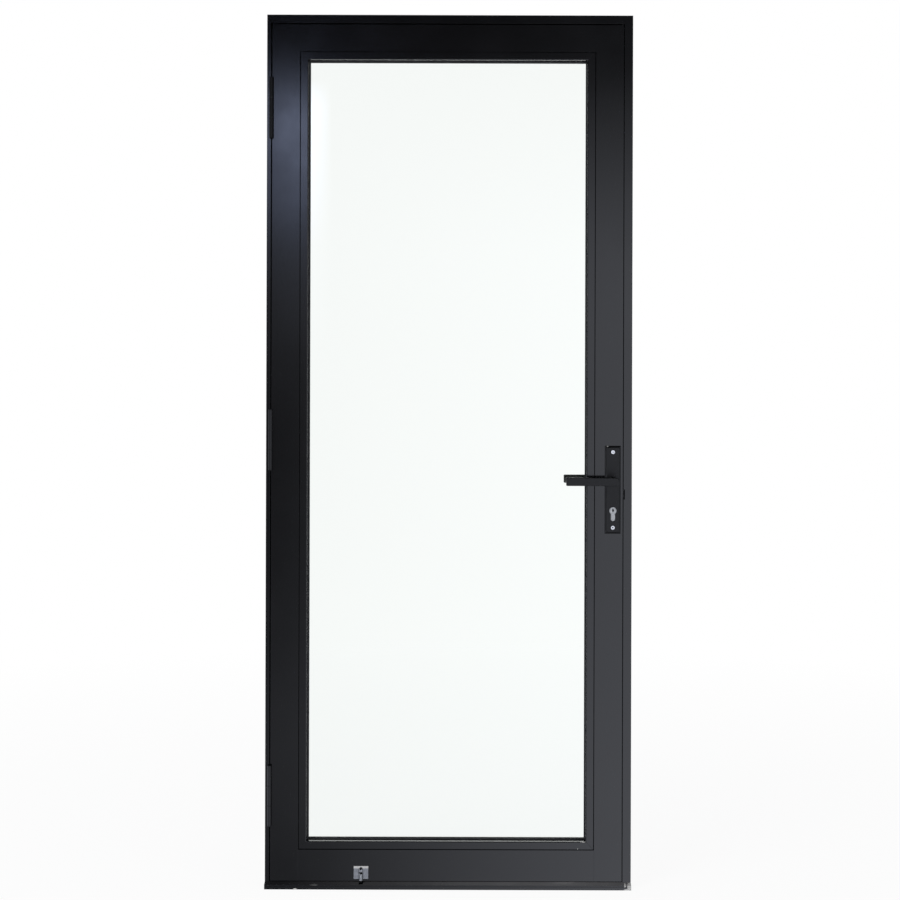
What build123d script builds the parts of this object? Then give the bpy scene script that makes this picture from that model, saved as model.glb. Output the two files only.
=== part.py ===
from build123d import *
import math
import os

# A glazed aluminium door in its frame, hinged at the left and opening towards the front.
# The origin is at the bottom of the frame, midway between its sides and midway through the leaf.
# X runs from the hinge side to the lock side, Y from the front to the rear, Z up, in millimetres.

# Frame
frame_width = 880.0
frame_height = 2100.0
head_face = 20.0
hinge_jamb_face = 9.5
lock_jamb_face = 20.0
sill_face = 15.5
frame_wall = 1.6
stop_overlap = 3.0
stop_depth = 20.0
stop_wall = 1.2
nosing_depth = 15.0
nosing_lip = 11.0
nosing_groove_width = 1.6
nosing_groove_depth = 0.7
nosing_groove_share = 0.8
frame_cleat_length = 45.0
cleat_clearance = 0.2
fixing_hole_radius = 4.0
fixing_access_radius = 7.0
fixing_end_distance = 351.0
fixings_per_jamb = 4

# Seals on the stop of the frame
seal_depth = 4.0
seal_clearance = 0.3
seal_side_margin = 0.5
seal_bevel = 1.0

# Leaf
leaf_gap = 3.0
lock_gap = 1.8
sill_gap = 1.5
leaf_thickness = 40.0
stile_face = 67.0
top_rail_face = 64.5
bottom_rail_face = 75.0
leaf_wall = 1.8
leg_thickness = 3.0
leaf_cleat_length = 60.0
leaf_cleat_wall = 4.0

# Glazing
bead_face = 20.0
bead_wall = 1.5
bead_recess = 1.0
bead_groove_width = 1.6
bead_groove_depth = 4.0
bead_edge_radius = 2.0
glass_thickness = 6.0
glass_edge_gap = 5.0
gasket_thickness = 3.5
gasket_lip = 3.0
gasket_inset = 2.0
setting_block_length = 100.0
setting_block_shares = (0.2, 0.8)

# Hinges
hinge_length = 142.0
top_hinge_drop = 223.8
middle_hinge_share = 0.5131
bottom_hinge_rise = 222.2
knuckle_radius = 5.0
knuckle_face_gap = 0.5
knuckle_play = 0.15
washer_thickness = 1.0
pin_radius = 3.0
pin_cap_height = 3.0
pin_cap_spigot = 6.0
pin_cap_bevel = 1.2
flap_depth = 28.0
flap_clearance = 0.4
hinge_screw_shares = (-0.36, 0.0, 0.36)
hinge_screw_depth_share = 0.55
hinge_screw_head_radius = 3.4
hinge_screw_radius = 2.0
running_clearance = 0.05

# Lever handles and their backplates
lever_height = 981.2
plate_width = 38.0
plate_above = 84.0
plate_below = 127.0
plate_thickness = 8.0
plate_bevel = 4.5
plate_stop_clearance = 1.0
lever_reach = 114.0
lever_heel = 12.0
lever_bar_height = 19.8
lever_bar_thickness = 10.0
lever_projection = 55.0
lever_heel_radius = 8.0
lever_tip_radius = 2.5
lever_edge_radius = 1.6
lever_turn_angle = 45.0
neck_radius = 9.0
neck_face_gap = 0.3
spindle_width = 8.0
spindle_socket_depth = 30.0
spindle_hole_radius = 7.0
set_screw_radius = 2.5
set_screw_recess = 0.6
top_screw_rise = 69.0
bottom_screw_drop = 112.4
handle_screw_radius = 2.5
handle_screw_head_radius = 4.5
handle_screw_head_depth = 2.5
handle_screw_bite = 5.0
screw_recess_radius = 1.8
screw_recess_depth = 1.2

# Lock
edge_groove_width = 22.0
edge_groove_depth = 2.0
forend_side_clearance = 0.1
forend_overhang = 28.0
lock_case_thickness = 16.0
lock_case_wall = 1.5
lock_case_above = 27.0
lock_case_below = 60.0
lock_case_play = 0.8
mortice_clearance = 0.2
lock_screw_radius = 2.0
lock_screw_head_radius = 3.6
screw_tail = 3.5
follower_collar_radius = 9.0
follower_hub_radius = 7.0
follower_hub_half_width = 3.5
follower_arm_half_width = 2.5
follower_arm_half_thickness = 3.0
lug_clearance = 0.4
lug_width = 4.0
lug_drop = 3.8
yoke_clearance = 0.5
yoke_height = 4.0
carrier_clearance = 1.0
carrier_width = 4.0
carrier_thickness = 3.0
bolt_guide_clearance = 0.3
lever_bolt_drop = 33.0
lever_bolt_throw = 9.0
lever_bolt_height = 18.0
lever_bolt_width = 11.0
lever_bolt_length = 18.5
lever_bolt_bevel = 1.5
lever_bolt_tail_height = 8.0
dead_bolt_drop = 40.4
dead_bolt_height = 18.0
dead_bolt_width = 10.0
dead_bolt_length = 18.5
dead_bolt_throw = 12.0
dead_bolt_tail_clearance = 0.6
dead_bolt_tail_width = 2.8
dead_bolt_tail_thickness = 2.0
dead_bolt_tail_height = 17.0

# Cylinder
cylinder_drop = 71.6
cylinder_head_radius = 8.5
cylinder_foot_radius = 5.0
cylinder_height = 33.0
cylinder_proud = 2.0
cylinder_clearance = 0.25
plug_radius = 6.45
keyway_width = 2.4
keyway_height = 9.0
keyway_depth = 20.0
keyway_rise = 1.2
cam_half_width = 4.7
cam_side_clearance = 0.3
cam_hub_radius = 8.0
cam_reach = 13.5
cam_finger_width = 6.0
cam_bridge_clearance = 0.9
cylinder_screw_drop = 19.4
cylinder_screw_radius = 2.5
cylinder_screw_head_radius = 4.2

# Strike in the lock jamb
strike_wall_share = 0.6
strike_width = 24.0
strike_overhang = 24.0
strike_screw_margin = 8.0
strike_screw_radius = 1.75
strike_screw_head_radius = 3.4
strike_hole_margin = 1.0
notch_depth = 3.0
notch_height = 24.0
notch_reach = 14.0

# Foot bolt
bolt_from_hinge_edge = 219.0
bolt_housing_width = 35.0
bolt_housing_height = 29.5
bolt_housing_thickness = 5.0
bolt_housing_rise = 6.2
bolt_housing_bevel = 4.2
bolt_radius = 4.1
bolt_running_clearance = 0.07
bolt_backing = 2.6
bolt_barrel_wall = 1.4
bolt_barrel_share = 0.4
bolt_barrel_drop = 4.5
bolt_tip_rise = 3.2
bolt_top_margin = 5.5
bolt_keep_clearance = 0.9
bolt_screw_offset_share = 0.36
bolt_screw_radius = 1.6
bolt_screw_head_radius = 3.0

# All cuts that run out of a piece go this far past it
overrun = 5.0

# Places worked out from the sizes
frame_left = -frame_width / 2
frame_right = frame_width / 2
opening_left = frame_left + hinge_jamb_face
opening_right = frame_right - lock_jamb_face
opening_bottom = sill_face
opening_top = frame_height - head_face
leaf_left = opening_left + leaf_gap
leaf_right = opening_right - lock_gap
leaf_bottom = opening_bottom + sill_gap
leaf_top = opening_top - leaf_gap
leaf_front = -leaf_thickness / 2
leaf_rear = leaf_thickness / 2
stop_reach = leaf_gap + stop_overlap
stop_front = leaf_rear + seal_depth
frame_rear = stop_front + stop_depth
nosing_front = leaf_front - nosing_depth

rebate_left = leaf_left + stile_face
rebate_right = leaf_right - stile_face
rebate_bottom = leaf_bottom + bottom_rail_face
rebate_top = leaf_top - top_rail_face
leg_front = leaf_rear - leg_thickness
glass_rear = leg_front - gasket_thickness
glass_front = glass_rear - glass_thickness
bead_rear = glass_front - gasket_thickness
bead_front = leaf_front + bead_recess

flap_thickness = (leaf_gap - flap_clearance) / 2
hinge_axis_x = opening_left + leaf_gap / 2
hinge_axis_y = leaf_front - knuckle_face_gap - knuckle_radius
knuckle_gap = washer_thickness + knuckle_play
knuckle_length = (hinge_length - 2 * knuckle_gap) / 3
hinge_heights = {
    "top": frame_height - top_hinge_drop,
    "middle": frame_height * middle_hinge_share,
    "bottom": bottom_hinge_rise,
}

handle_x = opening_right - stop_reach - plate_stop_clearance - plate_width / 2
plate_front = leaf_front - plate_thickness
cylinder_z = lever_height - cylinder_drop
cylinder_half_length = leaf_thickness / 2 + plate_thickness + cylinder_proud
cylinder_foot_z = cylinder_z + cylinder_head_radius - cylinder_height + cylinder_foot_radius
cylinder_screw_z = cylinder_z - cylinder_screw_drop
cam_gap_half = cam_half_width + cam_side_clearance
lock_half = lock_case_thickness / 2
lock_top = lever_height + lock_case_above
lock_bottom = cylinder_z - lock_case_below
lock_front = leaf_right - edge_groove_depth
forend_top = lock_top + forend_overhang
forend_bottom = lock_bottom - forend_overhang
follower_arm_radius = lever_bolt_throw / math.radians(lever_turn_angle)
carrier_right = handle_x - follower_hub_radius - lever_bolt_throw - carrier_clearance
carrier_left = carrier_right - carrier_width
lock_back = carrier_left - lock_case_play - lock_case_wall
lever_bolt_z = lever_height - lever_bolt_drop
lever_bolt_low = lever_bolt_z - lever_bolt_height / 2
lever_bolt_high = lever_bolt_z + lever_bolt_height / 2
dead_bolt_z = cylinder_z - dead_bolt_drop
dead_bolt_low = dead_bolt_z - dead_bolt_height / 2
dead_bolt_high = dead_bolt_z + dead_bolt_height / 2

strike_thickness = frame_wall * strike_wall_share
strike_back = opening_right + strike_thickness
strike_top = lever_bolt_high + strike_overhang
strike_bottom = dead_bolt_low - strike_overhang

bolt_x = leaf_left + bolt_from_hinge_edge
bolt_y = leaf_front - bolt_backing - bolt_radius
housing_bottom = leaf_bottom + bolt_housing_rise
housing_top = housing_bottom + bolt_housing_height
housing_front = leaf_front - bolt_housing_thickness


# Basic shapes

def block(x, y, z):
    """A box between a low and a high value on each axis."""
    size = [high - low for low, high in (x, y, z)]
    middle = [(high + low) / 2 for low, high in (x, y, z)]
    return Pos(*middle) * Box(*size)


def rod(axis, radius, span, across):
    """A round bar along one axis, with its centre line's place on the other two axes."""
    low, high = span
    middle = (low + high) / 2
    bar = Cylinder(radius, high - low)
    if axis == "x":
        return Pos(middle, across[0], across[1]) * Rot(0, 90, 0) * bar
    if axis == "y":
        return Pos(across[0], middle, across[1]) * Rot(90, 0, 0) * bar
    return Pos(across[0], across[1], middle) * bar


def outline(*points):
    """A flat face with straight sides."""
    return make_face(Polyline(*points, close=True))


def through(sketch, x, z, span):
    """A shape drawn as seen from the front, at a place on the door, running from front to rear."""
    plane = Plane(origin=(x, span[1], z), x_dir=(1, 0, 0), z_dir=(0, -1, 0))
    return extrude(plane * sketch, span[1] - span[0])


def member(section, side, edge, span):
    """An extruded bar on one side of a frame: its section is drawn inwards from the edge, then rearwards."""
    low, high = span
    planes = {
        "left": Plane(origin=(edge, 0, low), x_dir=(1, 0, 0), z_dir=(0, 0, 1)),
        "right": Plane(origin=(edge, 0, high), x_dir=(-1, 0, 0), z_dir=(0, 0, -1)),
        "bottom": Plane(origin=(high, 0, edge), x_dir=(0, 0, 1), z_dir=(-1, 0, 0)),
        "top": Plane(origin=(low, 0, edge), x_dir=(0, 0, -1), z_dir=(1, 0, 0)),
    }
    return extrude(planes[side] * section, high - low)


def countersunk_screw(length, head_radius, radius, head_depth):
    """A screw with its flush head at the origin, pointing down."""
    half = outline((0, 0), (head_radius, 0), (radius, -head_depth), (radius, -length), (0, -length))
    return revolve(Plane.XZ * half, Axis.Z)


def placed(shape, origin, outward):
    """A turned piece set so that its top looks outwards at a place."""
    return Plane(origin=origin, z_dir=outward).location * shape


def cut_all(piece, tools):
    """The piece with each tool cut away."""
    for tool in tools:
        piece = piece - tool
    return piece


# Frame: hollow extrusions, with the jambs standing on the sill, the head between them and clipped-in stops

def tube(low, high, front, rear, wall):
    """A rectangular tube's section, drawn inwards from the edge and then rearwards."""
    solid = outline((low, front), (high, front), (high, rear), (low, rear))
    hollow = outline(
        (low + wall, front + wall), (high - wall, front + wall),
        (high - wall, rear - wall), (low + wall, rear - wall),
    )
    return solid - hollow


def frame_section(face):
    """A frame bar: a flat tube as deep as the leaf, its seal and the stop."""
    return tube(0, face, leaf_front, frame_rear, frame_wall)


def sill_section():
    """The sill bar: the same tube, with a sloping nosing and a drip groove in front of the leaf."""
    wall = frame_wall
    groove_top = nosing_lip * nosing_groove_share
    groove_bottom = groove_top - nosing_groove_width
    groove_floor = nosing_front + nosing_groove_depth
    solid = outline(
        (0, nosing_front), (groove_bottom, nosing_front), (groove_bottom, groove_floor),
        (groove_top, groove_floor), (groove_top, nosing_front), (nosing_lip, nosing_front),
        (sill_face, leaf_front), (sill_face, frame_rear), (0, frame_rear),
    )
    chamber = outline(
        (wall, leaf_front), (sill_face - wall, leaf_front),
        (sill_face - wall, frame_rear - wall), (wall, frame_rear - wall),
    )
    nosing_chamber = outline(
        (wall, groove_floor + wall), (nosing_lip - wall, groove_floor + wall),
        (sill_face - 2 * wall, leaf_front - wall), (wall, leaf_front - wall),
    )
    return solid - chamber - nosing_chamber


def fixing_heights():
    """Heights of the wall fixings, evenly spaced up a jamb."""
    step = (frame_height - 2 * fixing_end_distance) / (fixings_per_jamb - 1)
    return [fixing_end_distance + step * index for index in range(fixings_per_jamb)]


def fixing_holes(outer, inner, inward):
    """Wall fixing holes: a screw hole in the outer wall and a larger way in through the inner wall."""
    tools = []
    for height in fixing_heights():
        narrow = sorted((outer - inward * overrun, outer + inward * 2 * frame_wall))
        wide = sorted((inner - inward * 2 * frame_wall, inner + inward * overrun))
        tools.append(rod("x", fixing_hole_radius, narrow, (0, height)))
        tools.append(rod("x", fixing_access_radius, wide, (0, height)))
    return tools


def hinge_screw_places(face):
    """Screw heads on one flap of every hinge."""
    depth = leaf_front + flap_depth * hinge_screw_depth_share
    return [
        (face, depth, height + hinge_length * share)
        for height in hinge_heights.values()
        for share in hinge_screw_shares
    ]


def hinge_screws(face, outward, wall):
    """The screws that hold one side of the hinges, flush with the flaps."""
    screw = countersunk_screw(
        flap_thickness + wall + screw_tail, hinge_screw_head_radius, hinge_screw_radius, flap_thickness
    )
    return [placed(screw, place, (outward, 0, 0)) for place in hinge_screw_places(face)]


def strike_screws():
    """The two screws of the strike plate."""
    length = strike_thickness + frame_wall + screw_tail
    screw = countersunk_screw(length, strike_screw_head_radius, strike_screw_radius, strike_thickness)
    heights = (strike_bottom + strike_screw_margin, strike_top - strike_screw_margin)
    return [placed(screw, (opening_right, 0, height), (-1, 0, 0)) for height in heights]


def strike_holes(span):
    """The holes for the two bolts, through the strike plate and the jamb's inner wall."""
    return bolt_ways(span, strike_hole_margin)


def bolt_ways(span, margin):
    """Clear ways across the gap for the lever bolt and the dead bolt."""
    lever_half = lever_bolt_width / 2 + margin
    dead_half = dead_bolt_width / 2 + margin
    return [
        block(span, (-lever_half, lever_half), (lever_bolt_low - margin, lever_bolt_high + margin)),
        block(span, (-dead_half, dead_half), (dead_bolt_low - margin, dead_bolt_high + margin)),
    ]


def frame_hinge_jamb(screws):
    """The jamb at the hinge side."""
    jamb = member(frame_section(hinge_jamb_face), "left", frame_left, (sill_face, frame_height))
    return cut_all(jamb, fixing_holes(frame_left, opening_left, 1) + screws)


def strike_blank(face):
    """The room of the strike, from a face in or before the jamb to the strike's back."""
    half = strike_width / 2
    return block((face, strike_back), (-half, half), (strike_bottom, strike_top))


def frame_lock_jamb(screws):
    """The jamb at the lock side, with the strike's seat, the bolts' holes and a notch in its front corner."""
    jamb = member(frame_section(lock_jamb_face), "right", frame_right, (sill_face, frame_height))
    inner_wall = (opening_right - overrun, opening_right + 2 * frame_wall)
    notch = block(
        (opening_right - overrun, opening_right + notch_depth),
        (leaf_front - overrun, leaf_front + notch_reach),
        (lever_bolt_z - notch_height / 2, lever_bolt_z + notch_height / 2),
    )
    seat = strike_blank(opening_right - overrun)
    tools = fixing_holes(frame_right, opening_right, -1) + strike_holes(inner_wall) + screws + [notch, seat]
    return cut_all(jamb, tools)


def frame_sill():
    """The sill under the whole frame, with a square keep for the foot bolt in its nosing."""
    sill = member(sill_section(), "bottom", 0, (frame_left, frame_right))
    half = bolt_radius + bolt_keep_clearance
    keep_height = (2 * frame_wall, sill_face + overrun)
    return sill - block((bolt_x - half, bolt_x + half), (bolt_y - half, bolt_y + half), keep_height)


frame_edges = {
    "left": (frame_left, hinge_jamb_face, (opening_bottom, opening_top)),
    "right": (frame_right, lock_jamb_face, (opening_bottom, opening_top)),
    "top": (frame_height, head_face, (opening_left + stop_reach, opening_right - stop_reach)),
    "bottom": (0, sill_face, (opening_left + stop_reach, opening_right - stop_reach)),
}


def frame_stop(side):
    """The hollow stop behind the leaf on one side of the frame."""
    edge, face, span = frame_edges[side]
    section = tube(face, face + stop_reach, stop_front, frame_rear, stop_wall)
    return member(section, side, edge, span)


def frame_corner_cleats():
    """Blocks inside the tubes: two in the head's ends, one in the foot of each jamb."""
    inset = frame_wall + cleat_clearance
    depth = (leaf_front + inset, frame_rear - inset)
    head_tube = (opening_top + inset, frame_height - inset)
    jamb_foot = (sill_face, sill_face + frame_cleat_length)
    return [
        block((opening_left, opening_left + frame_cleat_length), depth, head_tube),
        block((opening_right - frame_cleat_length, opening_right), depth, head_tube),
        block((frame_left + inset, opening_left - inset), depth, jamb_foot),
        block((opening_right + inset, frame_right - inset), depth, jamb_foot),
    ]


def frame_seal(side):
    """A seal strip on the stop of one frame bar, bevelled towards the leaf."""
    edge, face, span = frame_edges[side]
    low = face + seal_side_margin
    high = face + stop_reach - seal_side_margin
    front = leaf_rear + seal_clearance
    section = outline(
        (low, stop_front), (low, front + seal_bevel), (low + seal_bevel, front),
        (high - seal_bevel, front), (high, front + seal_bevel), (high, stop_front),
    )
    return member(section, side, edge, span)


def strike_plate(screws):
    """The flat strike let into the lock jamb, with holes for the two bolts."""
    plate = strike_blank(opening_right)
    return cut_all(plate, strike_holes((opening_right - overrun, strike_back + overrun)) + screws)


# Hinges: a flap on the jamb with two knuckles, a flap on the leaf with the middle one, and a pin

def knuckle_spans(height):
    """Lower, middle and upper knuckle of a hinge."""
    bottom = height - hinge_length / 2
    step = knuckle_length + knuckle_gap
    return [(bottom + step * index, bottom + step * index + knuckle_length) for index in range(3)]


def hinge_flap(inner_x, outer_x, spans, height, bore, screws):
    """One half of a hinge: a flap in the gap, with tabs that run out into its knuckles."""
    flap = block(
        sorted((inner_x, outer_x)),
        (leaf_front, leaf_front + flap_depth),
        (height - hinge_length / 2, height + hinge_length / 2),
    )
    axis = (hinge_axis_x, hinge_axis_y)
    for span in spans:
        flap = flap + block(sorted((inner_x, outer_x)), (hinge_axis_y, leaf_front), span)
        flap = flap + rod("z", knuckle_radius, span, axis)
    bore_span = (height - hinge_length / 2 - overrun, height + hinge_length / 2 + overrun)
    return cut_all(flap, [rod("z", bore, bore_span, axis)] + screws)


def hinge_cap_profile(shank):
    """Half of a turned pin head with a bevelled rim, above a shank of a given length."""
    rim = pin_cap_height - pin_cap_bevel
    return outline(
        (0, -shank), (pin_radius, -shank), (pin_radius, 0), (knuckle_radius, 0), (knuckle_radius, rim),
        (knuckle_radius - pin_cap_bevel, pin_cap_height), (0, pin_cap_height),
    )


def hinge_pin(height):
    """The pin, with its head on the top knuckle."""
    pin = revolve(Plane.XZ * hinge_cap_profile(hinge_length - pin_cap_spigot), Axis.Z)
    return placed(pin, (hinge_axis_x, hinge_axis_y, height + hinge_length / 2), (0, 0, 1))


def hinge_pin_cap(height):
    """The plug under the bottom knuckle."""
    cap = revolve(Plane.XZ * hinge_cap_profile(pin_cap_spigot), Axis.Z)
    return placed(cap, (hinge_axis_x, hinge_axis_y, height - hinge_length / 2), (0, 0, -1))


def hinge_washers(height):
    """The two washers of a hinge, against the frame's knuckles."""
    lower, middle, upper = knuckle_spans(height)
    axis = (hinge_axis_x, hinge_axis_y)
    spans = [(lower[1], lower[1] + washer_thickness), (upper[0] - washer_thickness, upper[0])]
    return [rod("z", knuckle_radius, span, axis) - rod("z", pin_radius, span, axis) for span in spans]


# Leaf: hollow stiles the full height, rails between them, and a leg at the rear that holds the glass

def leaf_section(face, groove):
    """A leaf bar: a box tube with the glazing leg, and a groove in its outer edge where one is asked for."""
    reach = face + bead_face
    half = edge_groove_width / 2
    points = [
        (0, leaf_front), (face, leaf_front), (face, leg_front),
        (reach, leg_front), (reach, leaf_rear), (0, leaf_rear),
    ]
    if groove:
        points += [(0, half), (groove, half), (groove, -half), (0, -half)]
    hollow = outline(
        (groove + leaf_wall, leaf_front + leaf_wall), (face - leaf_wall, leaf_front + leaf_wall),
        (face - leaf_wall, leaf_rear - leaf_wall), (groove + leaf_wall, leaf_rear - leaf_wall),
    )
    return outline(*points) - hollow


def leaf_stile(side, edge, groove):
    """A stile, with its glazing leg cut away beside the rails."""
    stile = member(leaf_section(stile_face, groove), side, edge, (leaf_bottom, leaf_top))
    leg = (rebate_right - bead_face - overrun, rebate_right)
    if side == "left":
        leg = (rebate_left, rebate_left + bead_face + overrun)
    depth = (leg_front - overrun, leaf_rear + overrun)
    foot = block(leg, depth, (leaf_bottom - overrun, rebate_bottom))
    crown = block(leg, depth, (rebate_top, leaf_top + overrun))
    return stile - foot - crown


def leaf_rail(side, edge, face):
    """A rail between the stiles, with its glazing leg cut short at their legs."""
    rail = member(leaf_section(face, 0), side, edge, (rebate_left, rebate_right))
    leg_high = bead_face + overrun
    leg = (rebate_top - leg_high, rebate_top)
    if side == "bottom":
        leg = (rebate_bottom, rebate_bottom + leg_high)
    depth = (leg_front - overrun, leaf_rear + overrun)
    left_cope = block((rebate_left - overrun, rebate_left + bead_face), depth, leg)
    right_cope = block((rebate_right - bead_face, rebate_right + overrun), depth, leg)
    return rail - left_cope - right_cope


def leaf_corner_cleats():
    """Short box sections inside the ends of the rails, against the stiles."""
    inset = leaf_wall + cleat_clearance
    wall = leaf_cleat_wall
    depth = (leaf_front + inset, leaf_rear - inset)
    inner_depth = (depth[0] + wall, depth[1] - wall)
    cleats = []
    for low, high in ((leaf_bottom, rebate_bottom), (rebate_top, leaf_top)):
        tall = (low + inset, high - inset)
        inner_tall = (tall[0] + wall, tall[1] - wall)
        for end, inward in ((rebate_left, 1), (rebate_right, -1)):
            span = sorted((end, end + inward * leaf_cleat_length))
            way = (span[0] - overrun, span[1] + overrun)
            cleats.append(block(span, depth, tall) - block(way, inner_depth, inner_tall))
    return cleats


# Glazing: pane, gaskets, setting blocks and four mitred beads

rebate_edges = {
    "left": (rebate_left, (rebate_bottom, rebate_top)),
    "right": (rebate_right, (rebate_bottom, rebate_top)),
    "bottom": (rebate_bottom, (rebate_left, rebate_right)),
    "top": (rebate_top, (rebate_left, rebate_right)),
}


def rebate_panel(inset, depth):
    """A flat panel in the rebate, set in by the same amount on all four sides."""
    return block(
        (rebate_left + inset, rebate_right - inset), depth, (rebate_bottom + inset, rebate_top - inset)
    )


def glazing_gasket(depth):
    """A black gasket that runs all round the pane and shows as a thin line inside the bead."""
    way = (depth[0] - overrun, depth[1] + overrun)
    return rebate_panel(gasket_inset, depth) - rebate_panel(bead_face + gasket_lip, way)


def setting_blocks():
    """Blocks that hold the pane's edge off the leaf, two on each side."""
    section = outline(
        (0, glass_front), (glass_edge_gap, glass_front), (glass_edge_gap, glass_rear), (0, glass_rear)
    )
    blocks = []
    for side, (edge, (low, high)) in rebate_edges.items():
        for share in setting_block_shares:
            middle = low + (high - low) * share
            half = setting_block_length / 2
            blocks.append(member(section, side, edge, (middle - half, middle + half)))
    return blocks


def bead_section():
    """A hollow snap-in bead: a shadow groove beside the stile and a rounded edge towards the glass."""
    groove_floor = bead_front + bead_groove_depth
    groove_shoulder = groove_floor - bead_groove_width
    solid = outline(
        (bead_groove_width, bead_front), (bead_face, bead_front), (bead_face, bead_rear), (0, bead_rear),
        (0, groove_floor), (bead_groove_width, groove_shoulder),
    )
    rounded = solid.vertices().sort_by(Axis.Y)[:2].sort_by(Axis.X)[-1]
    solid = fillet(rounded, bead_edge_radius)
    hollow = outline(
        (bead_wall, groove_floor + bead_wall), (bead_face - bead_wall, groove_floor + bead_wall),
        (bead_face - bead_wall, bead_rear - bead_wall), (bead_wall, bead_rear - bead_wall),
    )
    return solid - hollow


def glazing_bead(side):
    """One bead, with its ends mitred at 45 degrees."""
    edge, (low, high) = rebate_edges[side]
    bar = member(bead_section(), side, edge, (low, high))
    mitre = outline(
        (0, low), (0, high), (bead_face, high - bead_face), (bead_face, low + bead_face)
    )
    corners = {
        "left": Plane(origin=(edge, leaf_rear, 0), x_dir=(1, 0, 0), z_dir=(0, -1, 0)),
        "right": Plane(origin=(edge, leaf_front, 0), x_dir=(-1, 0, 0), z_dir=(0, 1, 0)),
        "bottom": Plane(origin=(0, leaf_front, edge), x_dir=(0, 0, 1), z_dir=(0, 1, 0)),
        "top": Plane(origin=(0, leaf_rear, edge), x_dir=(0, 0, -1), z_dir=(0, -1, 0)),
    }
    return bar & extrude(corners[side] * mitre, leaf_thickness)


# Lock, cylinder and handles

def euro_profile(clearance):
    """The cylinder's outline seen from the front: a round head over a narrower foot."""
    drop = cylinder_z - cylinder_foot_z
    foot_width = 2 * (cylinder_foot_radius + clearance)
    foot = Pos(0, -drop / 2) * Rectangle(foot_width, drop)
    foot_end = Pos(0, -drop) * Circle(cylinder_foot_radius + clearance)
    return Circle(cylinder_head_radius + clearance) + foot + foot_end


def cylinder_hole(span):
    """A way for the cylinder through a wall."""
    return through(euro_profile(cylinder_clearance), handle_x, cylinder_z, span)


def handle_screw_heights():
    """The two fixing screws of the handles."""
    return (lever_height + top_screw_rise, lever_height - bottom_screw_drop)


def handle_screws():
    """Long screws from the front plate into the rear one, with a round driver recess."""
    length = plate_thickness + leaf_thickness + handle_screw_bite
    screw = countersunk_screw(length, handle_screw_head_radius, handle_screw_radius, handle_screw_head_depth)
    recess = rod("z", screw_recess_radius, (-screw_recess_depth, overrun), (0, 0))
    return [placed(screw - recess, (handle_x, plate_front, z), (0, -1, 0)) for z in handle_screw_heights()]


def handle_screw_holes(radius, span):
    """Clear ways for the two handle screws through a wall."""
    return [rod("y", radius, span, (handle_x, height)) for height in handle_screw_heights()]


def lock_stile():
    """The stile at the lock side, with the lock's mortice and the ways for cylinder, spindle and screws."""
    across = (leaf_front - overrun, leaf_rear + overrun)
    half = lock_half + mortice_clearance
    mortice = block(
        (leaf_right - edge_groove_depth - 2 * leaf_wall, leaf_right + overrun),
        (-half, half),
        (lock_bottom - mortice_clearance, lock_top + mortice_clearance),
    )
    spindle_way = rod("y", spindle_hole_radius, across, (handle_x, lever_height))
    tools = [mortice, spindle_way, cylinder_hole(across)] + forend_screws()
    tools += handle_screw_holes(handle_screw_radius, across)
    return cut_all(leaf_stile("right", leaf_right, edge_groove_depth), tools)


def lock_case():
    """The lock's box, open towards the forend and the cover."""
    wall = lock_case_wall
    box = block((lock_back, lock_front), (-lock_half, lock_half - wall), (lock_bottom, lock_top))
    cavity = block(
        (lock_back + wall, lock_front + overrun),
        (wall - lock_half, lock_half),
        (lock_bottom + wall, lock_top - wall),
    )
    return cut_all(box - cavity, lock_side_holes())


def lock_cover():
    """The plate that closes the side of the lock."""
    plate = block((lock_back, lock_front), (lock_half - lock_case_wall, lock_half), (lock_bottom, lock_top))
    return cut_all(plate, lock_side_holes())


def lock_side_holes():
    """The holes that both sides of the lock share: follower, cylinder and the lower handle screw."""
    span = (-lock_half - overrun, lock_half + overrun)
    follower_bore = rod("y", follower_collar_radius + running_clearance, span, (handle_x, lever_height))
    return [follower_bore, cylinder_hole(span)] + handle_screw_holes(handle_screw_radius, span)


def forend_screws():
    """The two screws that hold the forend in the stile's groove."""
    length = edge_groove_depth + leaf_wall + screw_tail
    screw = countersunk_screw(length, lock_screw_head_radius, lock_screw_radius, edge_groove_depth)
    heights = (forend_bottom + forend_overhang / 2, forend_top - forend_overhang / 2)
    return [placed(screw, (leaf_right, 0, height), (1, 0, 0)) for height in heights]


def cylinder_screw():
    """The long screw that holds the cylinder from the forend."""
    length = leaf_right - handle_x
    screw = countersunk_screw(length, cylinder_screw_head_radius, cylinder_screw_radius, edge_groove_depth)
    return placed(screw, (leaf_right, 0, cylinder_screw_z), (1, 0, 0))


def lock_forend():
    """The face plate in the stile's edge, with guides for the two bolts."""
    half = edge_groove_width / 2 - forend_side_clearance
    plate = block((lock_front, leaf_right), (-half, half), (forend_bottom, forend_top))
    guides = bolt_ways((lock_front - overrun, leaf_right + overrun), bolt_guide_clearance)
    return cut_all(plate, guides + forend_screws() + [cylinder_screw()])


def follower():
    """The follower: two bearing collars, a hub between them and an arm that throws the lever bolt."""
    axis = (handle_x, lever_height)
    hub = rod("y", follower_hub_radius, (-lock_half, lock_half), axis)
    arm_depth = (-follower_arm_half_thickness, follower_arm_half_thickness)
    arm_top = lever_height + follower_arm_radius
    arm = block(
        (handle_x - follower_arm_half_width, handle_x + follower_arm_half_width),
        arm_depth,
        (lever_height, arm_top),
    )
    arm_tip = rod("y", follower_arm_half_width, arm_depth, (handle_x, arm_top))
    for side in (-1, 1):
        collar = sorted((side * follower_hub_half_width, side * lock_half))
        hub = hub + rod("y", follower_collar_radius, collar, axis)
    return hub + arm + arm_tip - spindle()


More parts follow.
